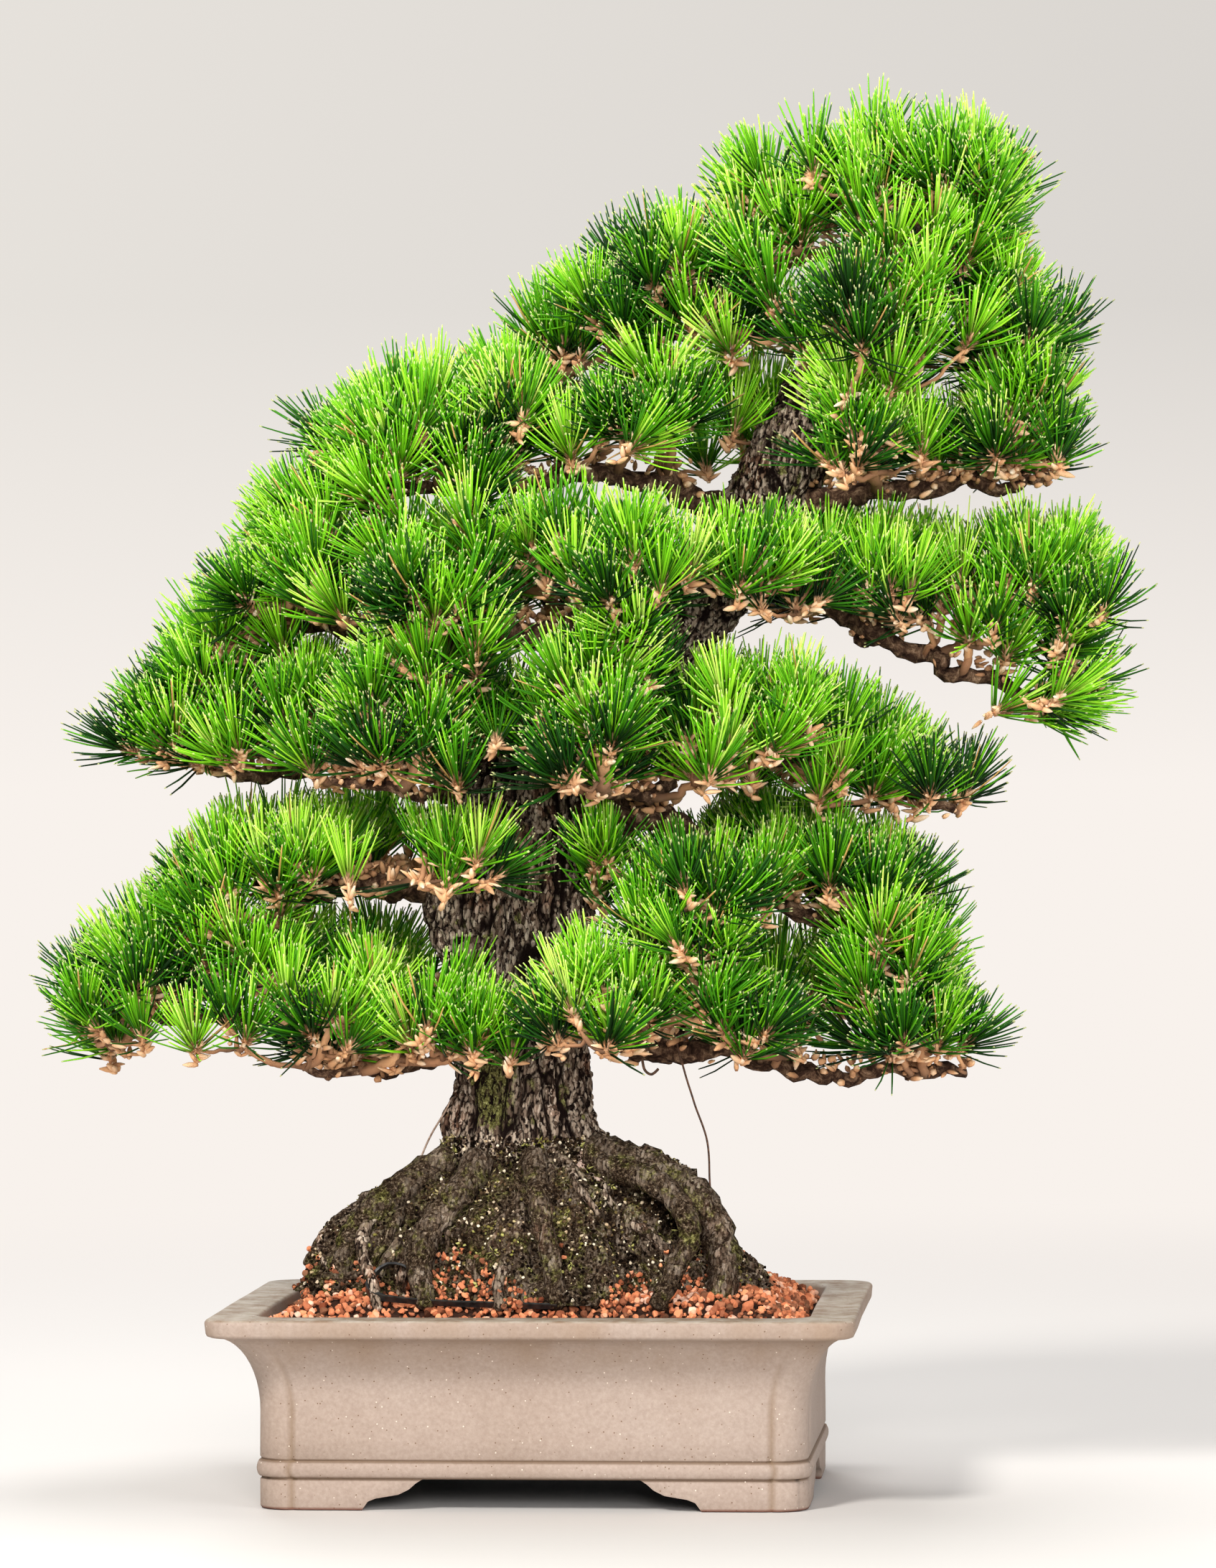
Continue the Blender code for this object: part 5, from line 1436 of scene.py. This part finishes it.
def grow_twigs(rng, tufts, wood):
    """Link every tuft to the wood. Each link starts at the nearest point already grown, so that
    twigs fork. Returns rows of points with radii."""
    places = np.array([tuft[0] for tuft in tufts])
    low, high = places.min(axis=0) - 0.05, places.max(axis=0) + 0.05
    inside = ((wood > low) & (wood < high)).all(axis=1)
    centre = places.mean(axis=0)
    if not inside.any():
        nearest = np.linalg.norm(wood - centre, axis=1).argsort()[:3]
        inside = np.zeros(len(wood), dtype=bool)
        inside[nearest] = True
    grown = [point for point in wood[inside]]
    parents = [-1] * len(grown)
    first_new = len(grown)
    order = np.argsort([np.linalg.norm(np.array(grown) - place, axis=1).min() for place in places])
    chains = []
    for index in order:
        place, axis = tufts[index][:2]
        known = np.array(grown)
        cost = np.linalg.norm(known - place, axis=1) + 0.8 * np.maximum(known[:, 2] - place[2], 0.0)
        parent = int(cost.argmin())
        start = known[parent]
        control = start + (place - start) * np.array([0.55, 0.55, 0.12]) - axis * 0.003
        chain = [parent]
        steps = 5
        for step in range(1, steps + 1):
            t = step / steps
            point = (1 - t) ** 2 * start + 2 * t * (1 - t) * control + t ** 2 * place
            if step < steps:
                point = point + rng.normal(0, 0.0011, 3)
            grown.append(point)
            parents.append(chain[-1])
            chain.append(len(grown) - 1)
        chains.append((chain, index))
    load = np.zeros(len(grown))
    for chain, _ in chains:
        node = chain[-1]
        while node >= first_new:
            load[node] += 1
            node = parents[node]
    radius = np.minimum(0.00115 * np.maximum(load, 1) ** 0.42, 0.0052)
    rows = []
    for chain, index in chains:
        place, axis, size, _ = tufts[index]
        points = np.array([grown[node] for node in chain] + [place + axis * SHOOT_LENGTH * size])
        radii = np.array([radius[node] for node in chain[1:]])
        radii = np.concatenate([[radii[0]], radii, [0.0011]])
        rows.append((points, radii))
    return rows


BUD_STATIONS = np.array([0.0, 0.22, 0.62, 1.0])
BUD_WIDTHS = np.array([0.60, 1.0, 0.90, 0.25])
BUD_SIDES = 5


def twigs_mesh(name, rng, tufts, wood, spurs, finish):
    """Twigs out to the tufts, sheath buds round each tuft's foot, and clusters on the bare wood."""
    vertices, quads, caps, quad_uvs, cap_uvs = [], [], [], [], []
    first = 0

    def add_tube(skin, tone_low, tone_high):
        nonlocal first
        rings, sides = skin.shape[:2]
        vertices.append(skin.reshape(-1, 3))
        quads.append(tube_faces(rings, sides, first))
        caps.append(cap_faces(rings, sides, first))
        uv = band_uv(rings, sides, 0.0, 1.0)
        tone = tone_low + (tone_high - tone_low) * uv[:, 1:] + 0.03 * uv[:, :1]
        quad_uvs.append(np.column_stack([np.clip(tone, 0, 0.99), uv[:, 0] * 0.9 + 0.05]))
        cap_uvs.append(np.tile([[tone_high, 0.1], [min(tone_high + 0.01, 1.0), 0.1], [tone_high, 0.2]],
                               (2 * (sides - 2), 1)))
        first += rings * sides

    for points, radii in grow_twigs(rng, tufts, wood):
        route = spline(np.column_stack([points, radii]), 3)
        skin = rough_tube(route[:, :3], route[:, 3], 6, 0.30, 520.0)
        add_tube(skin, rng.uniform(0.05, 0.30), rng.uniform(0.50, 0.85))
    def add_bud(start, way, length, girth, tones):
        route = start + way * (BUD_STATIONS * length)[:, None]
        side, other = frames_along(route)
        angle = np.arange(BUD_SIDES) / BUD_SIDES * 2 * math.pi
        ring = side[:, None, :] * np.cos(angle)[None, :, None] + other[:, None, :] * np.sin(angle)[None, :, None]
        add_tube(route[:, None, :] + ring * (BUD_WIDTHS * girth)[:, None, None], *tones)

    for place, axis, size, _ in tufts:
        for _ in range(int(rng.integers(11, 17) * size)):
            way = unit(axis * rng.uniform(0.0, 0.9) + rng.normal(0, 0.65, 3) * np.array([1.0, 1.0, 0.45]))
            start = place + axis * rng.uniform(-0.009, 0.006)
            add_bud(start, way, rng.uniform(0.005, 0.012) * size, rng.uniform(0.0011, 0.0021),
                    (rng.uniform(0.30, 0.75), rng.uniform(0.62, 0.99)))
    for spur in spurs:
        for _ in range(rng.integers(5, 11)):
            way = unit(rng.normal(0, 0.7, 3) * np.array([1.0, 1.0, 0.5]) + np.array([0.0, 0.0, 0.30]))
            add_bud(spur + rng.normal(0, 0.0045, 3), way, rng.uniform(0.004, 0.009), rng.uniform(0.0012, 0.0024),
                    (rng.uniform(0.20, 0.60), rng.uniform(0.50, 0.95)))
    uv = np.concatenate([np.concatenate(quad_uvs), np.concatenate(cap_uvs)])
    return mesh_object(name, np.concatenate(vertices), np.concatenate(quads), np.concatenate(caps), uv, finish)


def wood_points():
    """Points along every branch and the upper trunk, where twigs may start."""
    rows = [branch_route(name, points, 14)[::2] for name, shoots in BRANCHES.items() for _, _, points in shoots]
    trunk = spline(TRUNK_PATH, 6)[:, :3]
    rows.append(trunk[trunk[:, 2] > 0.24])
    return np.concatenate(rows) + ORIGIN


def make_foliage(needle, twig):
    wood = wood_points()
    spare = np.random.default_rng(5).random(len(wood)) < 0.55
    for number, (name, tufts) in enumerate(all_shoots().items()):
        rng = np.random.default_rng(1000 + number)
        places = np.array([tuft[0] for tuft in tufts])
        near = ((wood > places.min(axis=0) - 0.012) & (wood < places.max(axis=0) + 0.012)).all(axis=1) & spare
        spurs = wood[near] + np.array([0.0, -0.002, 0.006])
        spare &= ~near
        rows = [tuft_needles(rng, *tuft) for tuft in tufts]
        needles = needles_mesh("foliage_" + name, rows, rng, needle)
        add_piece(needles, "needles", "needles_" + name)
        twigs = twigs_mesh("twigs_" + name, rng, tufts, wood, spurs, twig)
        add_piece(twigs, "branch_bark")


# ---- wires and tie --------------------------------------------------------------------------

GUY_WIRES = {
    "guy_wire_left": [
        (-0.074, -0.010, 0.1900), (-0.0660, -0.012, 0.206), (-0.0580, -0.016, 0.2190),
        (-0.0540, -0.014, 0.2262), (-0.0500, -0.004, 0.2270)],
    "guy_wire_right": [
        (0.0960, -0.022, 0.1640), (0.0945, -0.0245, 0.202), (0.0870, -0.0265, 0.226),
        (0.0800, -0.0260, 0.250), (0.0755, -0.0200, 0.264), (0.0740, -0.0080, 0.266)]}
HOOK_WIRE = [
    (0.0570, -0.0120, 0.2600), (0.0566, -0.0250, 0.2560), (0.0574, -0.0270, 0.2480), (0.0588, -0.0275, 0.2432),
    (0.0625, -0.0280, 0.2410), (0.0664, -0.0275, 0.2440)]


def make_wire(name, points, radius, finish, slot, node):
    route = spline(points, 10)
    sides = 10
    route[1:-1] += np.column_stack([noise_at(route, 60.0, k * 9.0) for k in range(3)])[1:-1] * 0.0008
    skin = rough_tube(route, np.full(len(route), radius), sides, 0.05, 900.0)
    wire = mesh_object(name, skin.reshape(-1, 3) + ORIGIN, tube_faces(len(route), sides),
                       cap_faces(len(route), sides), finish=finish)
    add_piece(wire, slot, node)


def make_wires():
    pale = wire_finish("pale_wire", (0.36, 0.22, 0.15), (0.66, 0.50, 0.40), 0.5, 0.45)
    rusty = wire_finish("rusty_wire", (0.050, 0.024, 0.014), (0.16, 0.075, 0.040), 0.3, 0.65)
    make_wire("guy_wire_left_fine", GUY_WIRES["guy_wire_left"], 0.0006, pale, "pale_wire", "guy_wire_left")
    make_wire("guy_wire_right_fine", GUY_WIRES["guy_wire_right"], 0.0006, rusty, "rusty_wire", "guy_wire_right")
    make_wire("training_wire_end_fine", HOOK_WIRE, 0.0008, rusty, "rusty_wire", "training_wire_end")
    for side in ("left", "right"):
        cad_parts["drain_mesh_clip_" + side].data.materials.clear()
        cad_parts["drain_mesh_clip_" + side].data.materials.append(pale)


# ---- stage ----------------------------------------------------------------------------------

def make_floor():
    backdrop = (0.94, 0.885, 0.84)
    made = Finish("floor", 0.7, 0.1)
    made.shader.inputs["Base Color"].default_value = (0.63, 0.60, 0.575, 1.0)
    glow = made.add("ShaderNodeEmission")
    glow.inputs["Color"].default_value = (*backdrop, 1.0)
    distance = made.add("ShaderNodeVectorMath", operation="LENGTH")
    made.wire(made.place(), distance.inputs[0])
    blend = made.add("ShaderNodeMixShader")
    made.wire(made.step(distance.outputs["Value"], 0.7, 2.2), blend.inputs["Fac"])
    made.wire(made.shader.outputs["BSDF"], blend.inputs[1])
    made.wire(glow.outputs["Emission"], blend.inputs[2])
    made.wire(blend.outputs["Shader"], made.tree.nodes["Material Output"].inputs["Surface"])
    size = 6.0
    corners = [(-size, -size, 0), (size, -size, 0), (size, size, 0), (-size, size, 0)]
    floor = mesh_object("floor", corners, [(0, 1, 2, 3)], finish=made.material)
    floor.location.z = -0.0002


def world_blend(tree, value, span, first, second):
    """One colour below the span, another above it."""
    share = tree.nodes.new("ShaderNodeMapRange")
    share.inputs["From Min"].default_value, share.inputs["From Max"].default_value = span
    tree.links.new(value, share.inputs["Value"])
    mix = tree.nodes.new("ShaderNodeMix")
    mix.data_type = "RGBA"
    tree.links.new(share.outputs["Result"], mix.inputs[0])
    for socket, colour in ((mix.inputs[6], first), (mix.inputs[7], second)):
        if isinstance(colour, tuple):
            socket.default_value = (*colour, 1.0)
        else:
            tree.links.new(colour, socket)
    return mix.outputs[2]


def make_world():
    world = bpy.data.worlds.new("studio")
    bpy.context.scene.world = world
    world.use_nodes = True
    tree = world.node_tree
    output = tree.nodes["World Output"]
    seen = tree.nodes["Background"]
    way = tree.nodes.new("ShaderNodeSeparateXYZ")
    tree.links.new(tree.nodes.new("ShaderNodeTexCoord").outputs["Generated"], way.inputs["Vector"])
    # painted shade: the backdrop the camera sees darkens towards the right, away from the key light
    wall = world_blend(tree, way.outputs["X"], (-0.22, 0.03), (0.80, 0.765, 0.72), (0.70, 0.67, 0.635))
    shade = world_blend(tree, way.outputs["Z"], (0.0, 0.085), (0.94, 0.885, 0.84), wall)
    tree.links.new(shade, seen.inputs["Color"])
    light = tree.nodes.new("ShaderNodeBackground")
    light.inputs["Color"].default_value = (0.95, 0.97, 1.0, 1.0)
    light.inputs["Strength"].default_value = 0.32
    rays = tree.nodes.new("ShaderNodeLightPath")
    choose = tree.nodes.new("ShaderNodeMixShader")
    tree.links.new(rays.outputs["Is Camera Ray"], choose.inputs["Fac"])
    tree.links.new(light.outputs["Background"], choose.inputs[1])
    tree.links.new(seen.outputs["Background"], choose.inputs[2])
    tree.links.new(choose.outputs["Shader"], output.inputs["Surface"])


def make_light(name, place, target, size, power, colour=(1.0, 1.0, 1.0)):
    data = bpy.data.lights.new(name, "AREA")
    data.shape = "DISK"
    data.size = size
    data.energy = power
    data.color = colour
    lamp = bpy.data.objects.new(name, data)
    bpy.context.scene.collection.objects.link(lamp)
    lamp.location = place
    lamp.rotation_mode = "QUATERNION"
    lamp.rotation_quaternion = (Vector(target) - Vector(place)).to_track_quat("-Z", "Y")


def make_camera():
    """Level camera in front and a little to the right, turned a little to the left."""
    data = bpy.data.cameras.new("camera")
    data.lens = 128.6
    data.sensor_width = 36.0
    camera = bpy.data.objects.new("camera", data)
    bpy.context.scene.collection.objects.link(camera)
    camera.location = ORIGIN + FRONT_EYE
    camera.rotation_euler = (math.radians(90), math.radians(0.37), math.radians(5.08))
    bpy.context.scene.camera = camera


def make_stage():
    bpy.context.scene.view_settings.view_transform = "Standard"
    make_floor()
    make_world()
    heart = (0.0, 0.0, 0.40)
    make_light("key", (-1.3, -2.4, 2.5), heart, 0.7, 112.0, (1.0, 0.98, 0.94))
    make_light("fill", (2.4, -1.9, 1.2), heart, 1.6, 38.0)
    make_light("front", (0.5, -2.9, 0.95), heart, 1.0, 44.0)
    make_light("top", (0.2, 0.4, 2.8), heart, 1.2, 44.0)
    make_light("rim", (-0.9, 2.6, 1.7), heart, 1.4, 30.0)
    make_camera()


# ---- all of it ------------------------------------------------------------------------------

def main():
    make_stage()
    make_pot()
    make_soil_bed(soil_finish())
    grain = grain_finish()
    make_grains(grain)
    bark = bark_finish()
    skin = make_trunk(bark)
    make_foot_grains(skin, grain)
    make_surface_roots(skin, bark)
    make_moss(skin, moss_finish())
    make_branches(branch_finish())
    make_foliage(needle_finish(), twig_finish())
    make_wires()
    plastic = plastic_finish()
    for node in ("cable_tie", "drain_mesh_left", "drain_mesh_right"):
        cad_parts[node].data.materials.clear()
        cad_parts[node].data.materials.append(plastic)


main()
